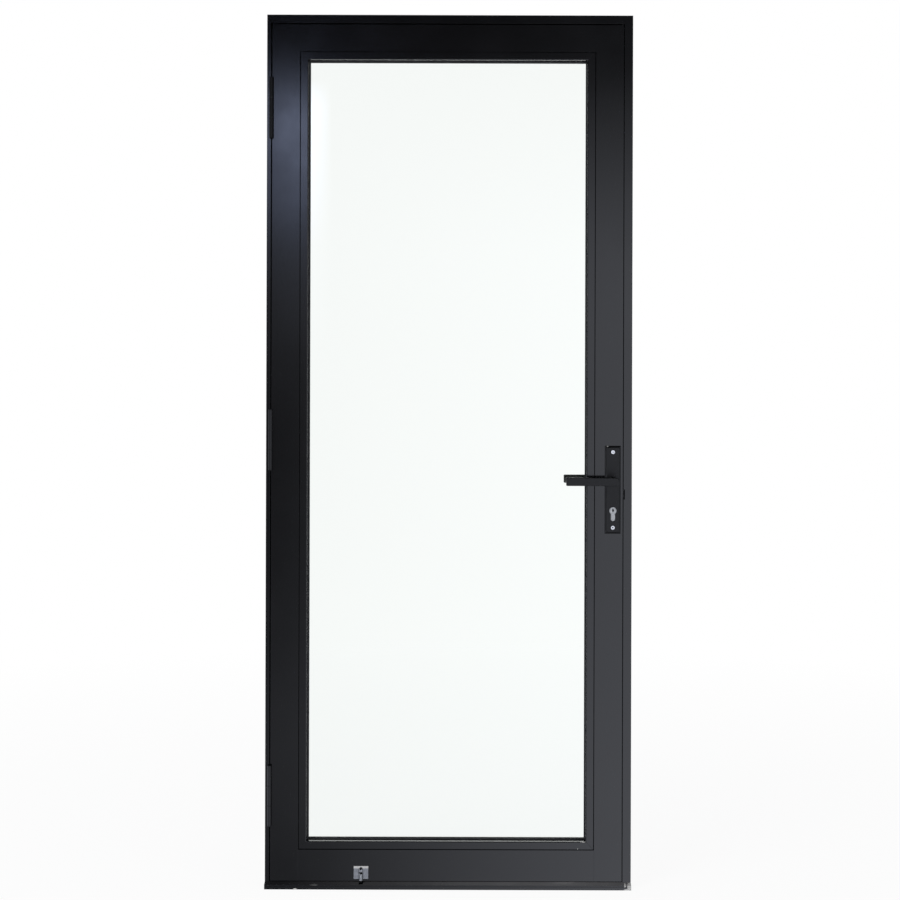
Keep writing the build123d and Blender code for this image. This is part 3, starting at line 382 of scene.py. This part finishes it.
def powder_coat(name, colour, roughness, bare=(), scuffs_and_highlights=(), dust_and_light=0.0, sheen=0.5):
    """Sprayed and baked powder: orange peel and faint clouds; if asked, dust with painted light,
    pale scuffs or painted highlights, and bare patches.
    """
    material, tree, place = new_material(name)
    peel, clouds, grit, ragged = (
        add_node(tree, "ShaderNodeTexNoise", {
            "Vector": place, "Scale": 1 / size, "Detail": detail, "Roughness": NOISE_ROUGHNESS,
        })
        for size, detail in (ORANGE_PEEL, COAT_CLOUDS, COAT_GRIT, RAGGED_EDGE)
    )
    darker = [c * CLOUD_DARK_SHARE for c in colour]
    lighter = [min(1, c * CLOUD_LIGHT_SHARE) for c in colour]
    cloud_share = add_node(tree, "ShaderNodeMapRange", (clouds, *NOISE_SPAN, 0.0, 1.0))
    layers = {SHARE: cloud_share, UNDER: darker, OVER: lighter}
    tone = add_node(tree, "ShaderNodeMix", layers, MIXED, data_type="RGBA")
    limits = (roughness - CLOUD_GLOSS, roughness + CLOUD_GLOSS)
    cloud_gloss = add_node(tree, "ShaderNodeMapRange", (clouds, *NOISE_SPAN, *limits))
    grit_gloss = add_node(tree, "ShaderNodeMapRange", (grit, *NOISE_SPAN, 0.0, GRIT_GLOSS))
    gloss = add_node(tree, "ShaderNodeMath", (cloud_gloss, grit_gloss), operation="ADD")
    if dust_and_light:
        # Dust settles on what faces up, more of it towards the lock side, which also paints in the lighter
        # reflection on that side
        along = add_node(tree, "ShaderNodeSeparateXYZ", [place], "X")
        toward_lock_side = add_node(tree, "ShaderNodeMapRange", (along, *DUST_AND_LIGHT_SWEEP, *DUST_AND_LIGHT_SHARES))
        patchy = add_node(tree, "ShaderNodeMapRange", (clouds, *NOISE_SPAN, *DUST_CLOUD_SHARES))
        spread = add_node(tree, "ShaderNodeMath", (toward_lock_side, patchy), operation="MULTIPLY")
        lying = upward_share(tree, DUST_SLOPE, dust_and_light)
        top_layer = add_node(tree, "ShaderNodeMath", (lying, spread), operation="MULTIPLY")
        layers = {SHARE: top_layer, UNDER: tone, OVER: srgb(DUST_AND_LIGHT_COLOUR)}
        tone = add_node(tree, "ShaderNodeMix", layers, MIXED, data_type="RGBA")
        gloss = add_node(tree, "ShaderNodeMath", (gloss, top_layer), operation="MAXIMUM")
    # Pale marks: real scuffs, or painted highlights where an edge catches the light
    for mark in scuffs_and_highlights:
        inside = mark_share(tree, place, mark, ragged)
        scuffed_or_lit = add_node(tree, "ShaderNodeMath", (inside, mark.strength), operation="MULTIPLY")
        layers = {SHARE: scuffed_or_lit, UNDER: tone, OVER: srgb(SCUFF_AND_HIGHLIGHT_COLOUR)}
        tone = add_node(tree, "ShaderNodeMix", layers, MIXED, data_type="RGBA")
        dull = add_node(tree, "ShaderNodeMath", (scuffed_or_lit, SCUFF_AND_HIGHLIGHT_ROUGHNESS), operation="MULTIPLY")
        gloss = add_node(tree, "ShaderNodeMath", (gloss, dull), operation="MAXIMUM")
    metallic = 0.0
    if bare:
        worn = 0.0
        for mark in bare:
            inside = mark_share(tree, place, mark, ragged)
            worn = add_node(tree, "ShaderNodeMath", (inside, worn), operation="MAXIMUM")
        layers = {SHARE: worn, UNDER: tone, OVER: srgb(BARE_COLOUR)}
        tone = add_node(tree, "ShaderNodeMix", layers, MIXED, data_type="RGBA")
        dull = add_node(tree, "ShaderNodeMath", (worn, BARE_ROUGHNESS), operation="MULTIPLY")
        gloss = add_node(tree, "ShaderNodeMath", (gloss, dull), operation="MAXIMUM")
        metallic = add_node(tree, "ShaderNodeMath", (worn, BARE_METALLIC), operation="MULTIPLY")
    edges = add_node(tree, "ShaderNodeBevel", {"Radius": EDGE_RADIUS})
    relief = {"Height": peel, "Distance": PEEL_DEPTH, "Strength": PEEL_STRENGTH, "Normal": edges}
    shader = add_node(tree, "ShaderNodeBsdfPrincipled", {
        "Base Color": tone, "Metallic": metallic, "Roughness": gloss, "Specular IOR Level": sheen,
        "Normal": add_node(tree, "ShaderNodeBump", relief),
    })
    add_node(tree, "ShaderNodeOutputMaterial", {"Surface": shader})
    return material


def clear_glass(name, tint):
    """Float glass: flat and clear, with wiping marks that hardly show."""
    material, tree, place = new_material(name)
    stretched = add_node(tree, "ShaderNodeMapping", {"Vector": place, "Scale": WIPE_STRETCH})
    size, detail = WIPING_MARKS
    wiped = add_node(tree, "ShaderNodeTexNoise", {
        "Vector": stretched, "Scale": 1 / size, "Detail": detail, "Roughness": NOISE_ROUGHNESS,
    })
    shader = add_node(tree, "ShaderNodeBsdfPrincipled", {
        "Base Color": tint, "Transmission Weight": 1.0, "IOR": GLASS_IOR,
        "Roughness": add_node(tree, "ShaderNodeMapRange", (wiped, *WIPE_SPAN, 0.0, WIPE_ROUGHNESS)),
    })
    add_node(tree, "ShaderNodeOutputMaterial", {"Surface": shader})
    return material


def black_rubber(name, colour):
    """Rubber or plastic from a die or mould: matt, with a fine grain and a paler bloom in places."""
    material, tree, place = new_material(name)
    bloom, grain = (
        add_node(tree, "ShaderNodeTexNoise", {
            "Vector": place, "Scale": 1 / size, "Detail": detail, "Roughness": NOISE_ROUGHNESS,
        })
        for size, detail in (RUBBER_BLOOM, RUBBER_GRAIN)
    )
    paler = [c * BLOOM_GAIN + BLOOM_LIFT for c in colour]
    bloom_share = add_node(tree, "ShaderNodeMapRange", (bloom, *NOISE_SPAN, 0.0, 1.0))
    layers = {SHARE: bloom_share, UNDER: colour, OVER: paler}
    relief = {"Height": grain, "Distance": RUBBER_DEPTH, "Strength": RUBBER_STRENGTH}
    shader = add_node(tree, "ShaderNodeBsdfPrincipled", {
        "Base Color": add_node(tree, "ShaderNodeMix", layers, MIXED, data_type="RGBA"),
        "Roughness": add_node(tree, "ShaderNodeMapRange", (grain, *NOISE_SPAN, *RUBBER_ROUGHNESS)),
        "Normal": add_node(tree, "ShaderNodeBump", relief),
    })
    add_node(tree, "ShaderNodeOutputMaterial", {"Surface": shader})
    return material


def bare_metal(name, colour, roughness, stretch=None, pits=0.0, painted_shade=(), hollow_shade_depth=0.0, lit_top=False):
    """Plain or plated metal: tool lines or a cast grain, small stains, and painted shade in marks and
    hollows.

    A stretch draws the grain out into lines. Pits are the extra depth of a cast skin. Painted shade darkens
    hollows: the surfaces nearer to the leaf's middle plane than the given distance. A lit top is a painted
    highlight, a pale matt film on upper faces.
    """
    material, tree, place = new_material(name)
    drawn = place
    if stretch:
        drawn = add_node(tree, "ShaderNodeMapping", {"Vector": place, "Scale": stretch})
    lines, stains = (
        add_node(tree, "ShaderNodeTexNoise", {
            "Vector": vector, "Scale": 1 / size, "Detail": detail, "Roughness": NOISE_ROUGHNESS,
        })
        for vector, (size, detail) in ((drawn, TOOL_LINES), (place, METAL_STAINS))
    )
    duller = [c * STAIN_DARK_SHARE for c in colour]
    stain_share = add_node(tree, "ShaderNodeMapRange", (stains, *NOISE_SPAN, 0.0, 1.0))
    layers = {SHARE: stain_share, UNDER: duller, OVER: colour}
    tone = add_node(tree, "ShaderNodeMix", layers, MIXED, data_type="RGBA")
    metallic = 1.0
    # Painted highlight: upward faces turn pale and matt, for light from above
    if lit_top:
        top_layer = upward_share(tree, TOP_HIGHLIGHT_SLOPE, 1.0)
        layers = {SHARE: top_layer, UNDER: tone, OVER: srgb(TOP_HIGHLIGHT_COLOUR)}
        tone = add_node(tree, "ShaderNodeMix", layers, MIXED, data_type="RGBA")
        metallic = add_node(tree, "ShaderNodeMath", (1.0, top_layer), operation="SUBTRACT")
    # Painted shade in the marked places: driver recesses, key slots, and the foot bolt's bore and barrel
    for mark in painted_shade:
        shade_share = mark_share(tree, place, mark, stains)
        layers = {SHARE: shade_share, UNDER: tone, OVER: srgb(PAINTED_SHADE_COLOUR)}
        tone = add_node(tree, "ShaderNodeMix", layers, MIXED, data_type="RGBA")
    # Painted shade: faces nearer to the leaf's middle plane than the given depth, as in a key slot, turn
    # black
    if hollow_shade_depth:
        depth = add_node(tree, "ShaderNodeSeparateXYZ", [place], "Y")
        distance = add_node(tree, "ShaderNodeMath", [depth], operation="ABSOLUTE")
        hollow_shade = add_node(tree, "ShaderNodeMapRange", (distance, hollow_shade_depth - HOLLOW_SHADE_FADE, hollow_shade_depth, 1.0, 0.0))
        layers = {SHARE: hollow_shade, UNDER: tone, OVER: srgb(HOLLOW_SHADE_COLOUR)}
        tone = add_node(tree, "ShaderNodeMix", layers, MIXED, data_type="RGBA")
    limits = [roughness + change for change in LINE_GLOSS]
    relief = {"Height": lines, "Distance": LINE_DEPTH + pits, "Strength": LINE_STRENGTH}
    shader = add_node(tree, "ShaderNodeBsdfPrincipled", {
        "Base Color": tone, "Metallic": metallic,
        "Roughness": add_node(tree, "ShaderNodeMapRange", (lines, *NOISE_SPAN, *limits)),
        "Normal": add_node(tree, "ShaderNodeBump", relief),
    })
    add_node(tree, "ShaderNodeOutputMaterial", {"Surface": shader})
    return material


# CAD nodes

def paint(material, *nodes):
    """Gives CAD nodes their material."""
    for name in nodes:
        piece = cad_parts[name]
        piece.data.materials.clear()
        piece.data.materials.append(material)


def corners(node):
    """Lowest and highest corner of a CAD node."""
    low, high = (Vector(corner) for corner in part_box(node))
    return low, high


# Operators

class DOOR_OT_coat_bars(bpy.types.Operator):
    """Powder coat on the frame, the leaf's bars and the glazing beads, with the wear of the sill"""

    bl_idname = "door.coat_bars"
    bl_label = "Coat the bars"

    def execute(self, context):
        finish = context.scene.door_finish
        wear = context.scene.door_wear
        colour, roughness = finish.coat_colour, finish.coat_roughness
        # Powder that melts and levels in the oven: a smooth black skin, which mirrors the room softly
        coat = powder_coat("black satin powder coat, sprayed", colour, roughness)
        paint(coat, *FRAME_BARS, *LEAF_BARS)

        low, high = corners("frame_sill")
        leaf_front = corners("hinge_stile")[0].y
        wide, tall = wear.bare_corner_width, wear.bare_corner_height
        bare = [
            Mark((high.x - wide * inwards, low.y, tall * up), (wide * half_width, depth, tall * half_height))
            for inwards, up, half_width, half_height, depth in BARE_PATCHES
        ]
        fleck = wear.fleck_size / 2
        scratch_reach = (SILL_SCRATCH_LENGTH_SHARE * fleck, SPECK_DEPTH, fleck)
        sill_marks = [
            Mark((SILL_SCRATCH_X, low.y, SILL_SCRATCH_HEIGHT), scratch_reach),
            Mark((SILL_SMEAR_X, low.y, SILL_SMEAR_HEIGHT), SILL_SMEAR_REACH, SILL_SMEAR_STRENGTH),
            Mark((SILL_FILM_X, leaf_front, high.z), SILL_FILM_REACH, SILL_FILM_STRENGTH),
        ]
        # The same coat where feet pass: grey dust on the slope, paler towards the lock side as painted
        # light, pale scrapes and a corner worn to metal
        sill = powder_coat(
            "black satin powder coat, worn and dusty", colour, roughness,
            bare=bare, scuffs_and_highlights=sill_marks, dust_and_light=SILL_DUST_AND_LIGHT,
        )
        paint(sill, "frame_sill")

        low, high = corners("glazing_bead_bottom")
        bead_marks = [
            Mark((BEAD_SPECK_X, low.y, BEAD_SPECK_HEIGHT), (fleck, SPECK_DEPTH, fleck), BEAD_SPECK_STRENGTH),
            Mark((BEAD_SMUDGE_X, low.y, high.z), BEAD_SMUDGE_REACH, BEAD_SMUDGE_STRENGTH),
        ]
        # The same coat with a pale speck and a smudge near the lock side
        beads = powder_coat("black satin powder coat, flecked", colour, roughness, scuffs_and_highlights=bead_marks)
        paint(beads, *BEADS)

        # Straight from the press and cut by a saw: pale grey metal with fine lines
        aluminium = bare_metal(
            "mill finish aluminium, sawn", srgb("c4c6c8"), roughness=0.4, stretch=(1, 1, 0.1)
        )
        paint(aluminium, "frame_corner_cleats", "leaf_corner_cleats")
        return {"FINISHED"}


class DOOR_OT_glaze(bpy.types.Operator):
    """The pane, its gaskets and blocks, and the seals on the stops"""

    bl_idname = "door.glaze"
    bl_label = "Glaze the leaf"

    def execute(self, context):
        finish = context.scene.door_finish
        # Floated on molten tin: flat, so that it mirrors cleanly, and a little green from its iron
        paint(clear_glass("clear float glass, polished", finish.glass_tint), "glass_pane")
        # Pushed through a die: a dull dark grey line between coat and glass
        rubber = black_rubber("black gasket rubber, extruded", srgb("262729"))
        paint(rubber, *GASKETS, *SEALS)
        # Moulded in a plain tool: matt black, hidden under the glass
        paint(black_rubber("black packer plastic, moulded", srgb("161616")), "setting_blocks")
        return {"FINISHED"}


class DOOR_OT_hang_hinges(bpy.types.Operator):
    """The hinges with their pins, caps, washers and screws"""

    bl_idname = "door.hang_hinges"
    bl_label = "Hang the hinges"

    def execute(self, context):
        finish = context.scene.door_finish
        # Powder on rolled knuckles: a little duller than the bars, so that they stand out only faintly
        coat = powder_coat("black satin powder coat on steel", finish.coat_colour, roughness=0.14, sheen=0.4)
        for place in HINGES:
            paint(coat, f"hinge_{place}_frame_leaf", f"hinge_{place}_door_leaf", f"hinge_{place}_pin")
        paint(coat, "hinge_pin_caps")
        # Moulded rings: matt black, seen only as the gaps between the knuckles
        paint(black_rubber("black washer nylon, moulded", srgb("121212")), "hinge_washers")
        # Turned and then plated: bright and bluish white, with a fine even grain
        zinc = bare_metal("zinc plated steel, turned", finish.steel_colour, roughness=0.3)
        paint(zinc, "hinge_frame_screws", "hinge_door_screws")
        return {"FINISHED"}


class DOOR_OT_fit_handles(bpy.types.Operator):
    """The levers, their backplates, spindle and screws"""

    bl_idname = "door.fit_handles"
    bl_label = "Fit the handles"

    def execute(self, context):
        finish = context.scene.door_finish
        low, high = corners("front_backplate")
        # Painted highlight: a pale mark on the backplate's bevelled top corner
        corner_highlight_place = (low.x + CORNER_HIGHLIGHT_INSET, low.y + CORNER_HIGHLIGHT_DEPTH, high.z - CORNER_HIGHLIGHT_DROP)
        corner_highlight = Mark(corner_highlight_place, CORNER_HIGHLIGHT_REACH, CORNER_HIGHLIGHT_STRENGTH)
        # Powder over a cast skin: rougher than on the bars, so that the handle looks matt beside them
        coat = powder_coat(
            "black satin powder coat on cast levers", finish.handle_colour, roughness=0.42, scuffs_and_highlights=[corner_highlight]
        )
        paint(coat, "front_lever", "rear_lever", "front_backplate", "rear_backplate")

        low, high = corners("handle_screws")
        middle = (low + high) / 2
        recess_shades = [
            Mark((middle.x, y, z), SCREW_RECESS_SHADE_REACH)
            for y in (low.y, high.y)
            for z in (low.z + SCREW_HEAD_RADIUS, high.z - SCREW_HEAD_RADIUS)
        ]
        # Turned and bright plated: two shining dots on the plate, each with painted shade in its driver
        # recess
        zinc = bare_metal(
            "bright zinc plated steel, turned", finish.steel_colour, roughness=0.25, painted_shade=recess_shades
        )
        paint(zinc, "handle_screws", "lever_set_screws", "spindle")
        return {"FINISHED"}


class DOOR_OT_fit_lock(bpy.types.Operator):
    """The lock case, bolts and strike, and the cylinder with its key plugs"""

    bl_idname = "door.fit_lock"
    bl_label = "Fit the lock"

    def execute(self, context):
        finish = context.scene.door_finish
        # Brushed before plating: a soft warm grey with upright lines
        nickel = bare_metal(
            "satin nickel, brushed", finish.nickel_colour, roughness=0.34, stretch=(1, 1, 0.2)
        )
        paint(nickel, "cylinder_body")

        low, high = corners("front_key_plug")
        middle = (low + high) / 2
        slot_shades = [Mark((middle.x, y, middle.z + KEY_SLOT_SHADE_RISE), KEY_SLOT_SHADE_REACH) for y in (low.y, -low.y)]
        # Turned faces: the same grey without lines, and a key slot blackened inside and round it by painted
        # shade
        plug = bare_metal(
            "satin nickel, turned", finish.nickel_colour, roughness=0.3,
            painted_shade=slot_shades, hollow_shade_depth=-low.y - KEY_SLOT_SHADE_DEPTH,
        )
        paint(plug, *KEY_PLUGS)

        # Brushed up the end that meets the strike: plain grey with long fine lines, seen when a bolt is out
        stainless = bare_metal(
            "stainless steel, brushed lengthwise", srgb("b4b4b1"), roughness=0.32, stretch=(1, 1, 0.06)
        )
        paint(stainless, "lever_bolt", "dead_bolt")
        # Powder on rolled strip: as black and as smooth as the bars that it is let into
        coat = powder_coat(
            "black satin powder coat on steel strip", finish.coat_colour, finish.coat_roughness
        )
        paint(coat, "lock_forend", "strike_plate")
        # Pressed from sheet and then plated: a plain light grey, a little cloudy
        zinc = bare_metal("zinc plated steel, pressed", finish.steel_colour, roughness=0.36)
        paint(zinc, "lock_case", "lock_cover", "lock_screws", "strike_screws", "dead_bolt_tail")
        # Cast in a steel die: a darker grey with a fine pitted skin
        cast = bare_metal("zinc alloy, die cast", srgb("9b9da0"), roughness=0.45, pits=0.03 * MM)
        paint(cast, "follower", "cylinder_cam")
        return {"FINISHED"}


class DOOR_OT_fit_foot_bolt(bpy.types.Operator):
    """The foot bolt and its housing on the bottom rail"""

    bl_idname = "door.fit_foot_bolt"
    bl_label = "Fit the foot bolt"

    def execute(self, context):
        low, high = corners("bolt_housing")
        middle = (low + high) / 2
        bolt_shades = [
            Mark((middle.x, low.y, high.z - BARREL_SHADE_DROP), BARREL_SHADE_REACH),
            Mark((middle.x, low.y, high.z - BORE_SHADE_DROP), BORE_SHADE_REACH),
        ]
        # Cast and never polished: a dull grey with pits, a painted highlight on top, and painted shade under
        # the barrel and in the bore round the rod
        cast = bare_metal(
            "zinc alloy housing, die cast and dull", srgb("b6b8bb"), roughness=0.5,
            pits=0.04 * MM, painted_shade=bolt_shades, lit_top=True,
        )
        paint(cast, "bolt_housing", "bolt_housing_screws")

        rod_top = corners("foot_bolt")[1].z
        rod_top_shade = [Mark((middle.x, low.y, rod_top), ROD_TOP_SHADE_REACH)]
        # Drawn through a die and then plated: a dull light grey with lines along it, with painted shade at
        # its top
        zinc = bare_metal(
            "zinc plated rod, drawn and dull", srgb("c6c8ca"), roughness=0.5,
            stretch=(1, 1, 0.1), painted_shade=rod_top_shade,
        )
        paint(zinc, "foot_bolt")
        return {"FINISHED"}


# Stage

def seen_share(tree):
    """1 where the camera looks, straight or through the glass, and 0 for rays that only carry light."""
    rays = add_node(tree, "ShaderNodeLightPath").node
    kinds = (rays.outputs["Is Camera Ray"], rays.outputs["Is Transmission Ray"])
    return add_node(tree, "ShaderNodeMath", kinds, operation="MAXIMUM")


def white_board(name, shading):
    """Painted board that looks white to the camera and keeps that share of its own shading near the door."""
    material, tree, place = new_material(name)
    distance = add_node(tree, "ShaderNodeVectorMath", [place], "Value", operation="LENGTH")
    plain = add_node(tree, "ShaderNodeMapRange", (distance, *FLOOR_SHADING_SPAN, 1 - shading, 1.0))
    white = add_node(tree, "ShaderNodeMath", (seen_share(tree), plain), operation="MULTIPLY")
    matt = add_node(tree, "ShaderNodeBsdfDiffuse", {"Color": srgb("e9e9e7")})
    glow = add_node(tree, "ShaderNodeEmission", {"Color": srgb("ffffff"), "Strength": 1.0})
    both = add_node(tree, "ShaderNodeMixShader", (white, matt, glow))
    add_node(tree, "ShaderNodeOutputMaterial", {"Surface": both})
    return material


def stage_plane(name, size, turn, material):
    """A flat board of the studio."""
    maker = bmesh.new()
    bmesh.ops.create_grid(maker, x_segments=1, y_segments=1, size=size / 2, matrix=turn)
    mesh = bpy.data.meshes.new(name)
    maker.to_mesh(mesh)
    maker.free()
    mesh.materials.append(material)
    board = bpy.data.objects.new(name, mesh)
    bpy.context.scene.collection.objects.link(board)
    return board


def soft_lamp(name, place, size, power, colour):
    """A soft lamp of that width and height that looks at the door and shows in no mirror or pane."""
    lamp = bpy.data.lights.new(name, "AREA")
    lamp.shape = "RECTANGLE"
    lamp.size, lamp.size_y = size
    lamp.energy = power
    lamp.color = colour
    holder = bpy.data.objects.new(name, lamp)
    holder.location = place
    holder.rotation_euler = (Vector(LAMP_TARGET) - Vector(place)).to_track_quat("-Z", "Y").to_euler()
    holder.visible_camera = False
    holder.visible_transmission = False
    holder.visible_glossy = False
    bpy.context.scene.collection.objects.link(holder)


def light_in_bands(tree, axes, level, bands):
    """A level of light, multiplied by its share in each of the bands."""
    for axis, start, end, first, last in bands:
        share = add_node(tree, "ShaderNodeMapRange", (axes.outputs[axis], start, end, first, last))
        level = add_node(tree, "ShaderNodeMath", (level, share), operation="MULTIPLY")
    return level


def light_world(level):
    """Even light from all round. Mirrors see a room with a window instead, and the camera sees white."""
    world = bpy.data.worlds.new("studio")
    bpy.context.scene.world = world
    world.cycles.sampling_method = "NONE"
    world.use_nodes = True
    tree = world.node_tree
    tree.nodes.clear()
    direction = add_node(tree, "ShaderNodeTexCoord", output="Generated")
    axes = add_node(tree, "ShaderNodeSeparateXYZ", [direction]).node
    side = axes.outputs["X"]

    # The room is light at the lock side and dim at the hinge side, but for the patch and what lies far out
    patch = light_in_bands(tree, axes, PATCH_LEVEL, PATCH_BANDS)
    dim = add_node(tree, "ShaderNodeMath", (patch, HINGE_SIDE_LEVEL), operation="ADD")
    near = add_node(tree, "ShaderNodeMapRange", (side, *SIDE_SPAN, dim, LOCK_SIDE_LEVEL))
    far = add_node(tree, "ShaderNodeMapRange", (side, *FAR_SIDE_SPAN, FAR_SIDE_LEVEL, 0.0))
    sides = add_node(tree, "ShaderNodeMath", (near, far), operation="ADD")
    room = light_in_bands(tree, axes, sides, ROOM_BANDS)
    window = light_in_bands(tree, axes, WINDOW_LEVEL, WINDOW_BANDS)
    mirrored = add_node(tree, "ShaderNodeMath", (room, window), operation="ADD")
    blue = add_node(tree, "ShaderNodeMapRange", (window, 0.0, WINDOW_FULL_HUE_LEVEL, 0.0, 1.0))
    layers = {SHARE: blue, UNDER: srgb(ROOM_HUE), OVER: srgb(WINDOW_HUE)}
    hue = add_node(tree, "ShaderNodeMix", layers, MIXED, data_type="RGBA")

    glossy = add_node(tree, "ShaderNodeLightPath", output="Is Glossy Ray")
    values = {SHARE: glossy, VALUE_UNDER: level, VALUE_OVER: mirrored}
    strength = add_node(tree, "ShaderNodeMix", values, data_type="FLOAT")
    around = add_node(tree, "ShaderNodeBackground", {"Color": hue, "Strength": strength})
    white = add_node(tree, "ShaderNodeBackground", {"Color": srgb("ffffff"), "Strength": 1.0})
    both = add_node(tree, "ShaderNodeMixShader", (seen_share(tree), around, white))
    add_node(tree, "ShaderNodeOutputWorld", {"Surface": both})


class DOOR_OT_set_stage(bpy.types.Operator):
    """A pale floor, soft lamps, a white world, and the camera at the picture's angle"""

    bl_idname = "door.set_stage"
    bl_label = "Set the stage"

    def execute(self, context):
        scene = context.scene
        stage = scene.door_stage
        level = Matrix.Translation((0, 0, CAD_LOW[2] - FLOOR_DROP))
        # Rolled with matt paint: an even white that keeps a faint shade round the door's foot
        board = white_board("white floor board, painted", FLOOR_SHADING)
        floor = stage_plane("studio_floor", FLOOR_WIDTH, level, board)
        floor.visible_glossy = False
        light_world(stage.world_level)
        soft_lamp("key_lamp", KEY_LAMP_PLACE, KEY_LAMP_SIZE, stage.lamp_power, srgb("ffffff"))
        fill_power = stage.lamp_power * FILL_LAMP_SHARE
        soft_lamp("fill_lamp", FILL_LAMP_PLACE, FILL_LAMP_SIZE, fill_power, srgb("fffaf2"))

        leaf_front = corners("hinge_stile")[0].y
        camera = bpy.data.cameras.new("photo_camera")
        camera.sensor_fit = "HORIZONTAL"
        camera.lens = camera.sensor_width * stage.camera_distance / stage.view_width
        camera.shift_x, camera.shift_y = stage.view_shift
        camera.clip_end = VIEW_END
        holder = bpy.data.objects.new("photo_camera", camera)
        holder.location = (stage.camera_side, leaf_front - stage.camera_distance, stage.camera_height)
        holder.rotation_euler = (math.radians(90), -stage.camera_roll, 0)
        scene.collection.objects.link(holder)
        scene.camera = holder
        scene.view_settings.view_transform = "Standard"
        return {"FINISHED"}


class DOOR_PT_panel(bpy.types.Panel):
    """The door's steps in the sidebar"""

    bl_idname = "DOOR_PT_panel"
    bl_label = "Door"
    bl_space_type = "VIEW_3D"
    bl_region_type = "UI"
    bl_category = "Door"

    def draw(self, context):
        for group in GROUPS:
            settings = getattr(context.scene, group)
            for name in settings.__annotations__:
                self.layout.prop(settings, name)
        for step in STEPS:
            self.layout.operator(step.bl_idname)


STEPS = (
    DOOR_OT_coat_bars, DOOR_OT_glaze, DOOR_OT_hang_hinges, DOOR_OT_fit_handles,
    DOOR_OT_fit_lock, DOOR_OT_fit_foot_bolt, DOOR_OT_set_stage,
)
GROUPS = {"door_finish": DoorFinish, "door_wear": DoorWear, "door_stage": DoorStage}
CLASSES = (*GROUPS.values(), *STEPS, DOOR_PT_panel)


def register():
    """Makes the settings, steps and panel known."""
    for kind in CLASSES:
        bpy.utils.register_class(kind)
    for name, group in GROUPS.items():
        setattr(bpy.types.Scene, name, PointerProperty(type=group))


def unregister():
    """Takes them away again."""
    for name in GROUPS:
        delattr(bpy.types.Scene, name)
    for kind in reversed(CLASSES):
        bpy.utils.unregister_class(kind)


def main():
    """Runs every step in order."""
    register()
    bpy.ops.door.coat_bars()
    bpy.ops.door.glaze()
    bpy.ops.door.hang_hinges()
    bpy.ops.door.fit_handles()
    bpy.ops.door.fit_lock()
    bpy.ops.door.fit_foot_bolt()
    bpy.ops.door.set_stage()


if __name__ == "__main__":
    main()
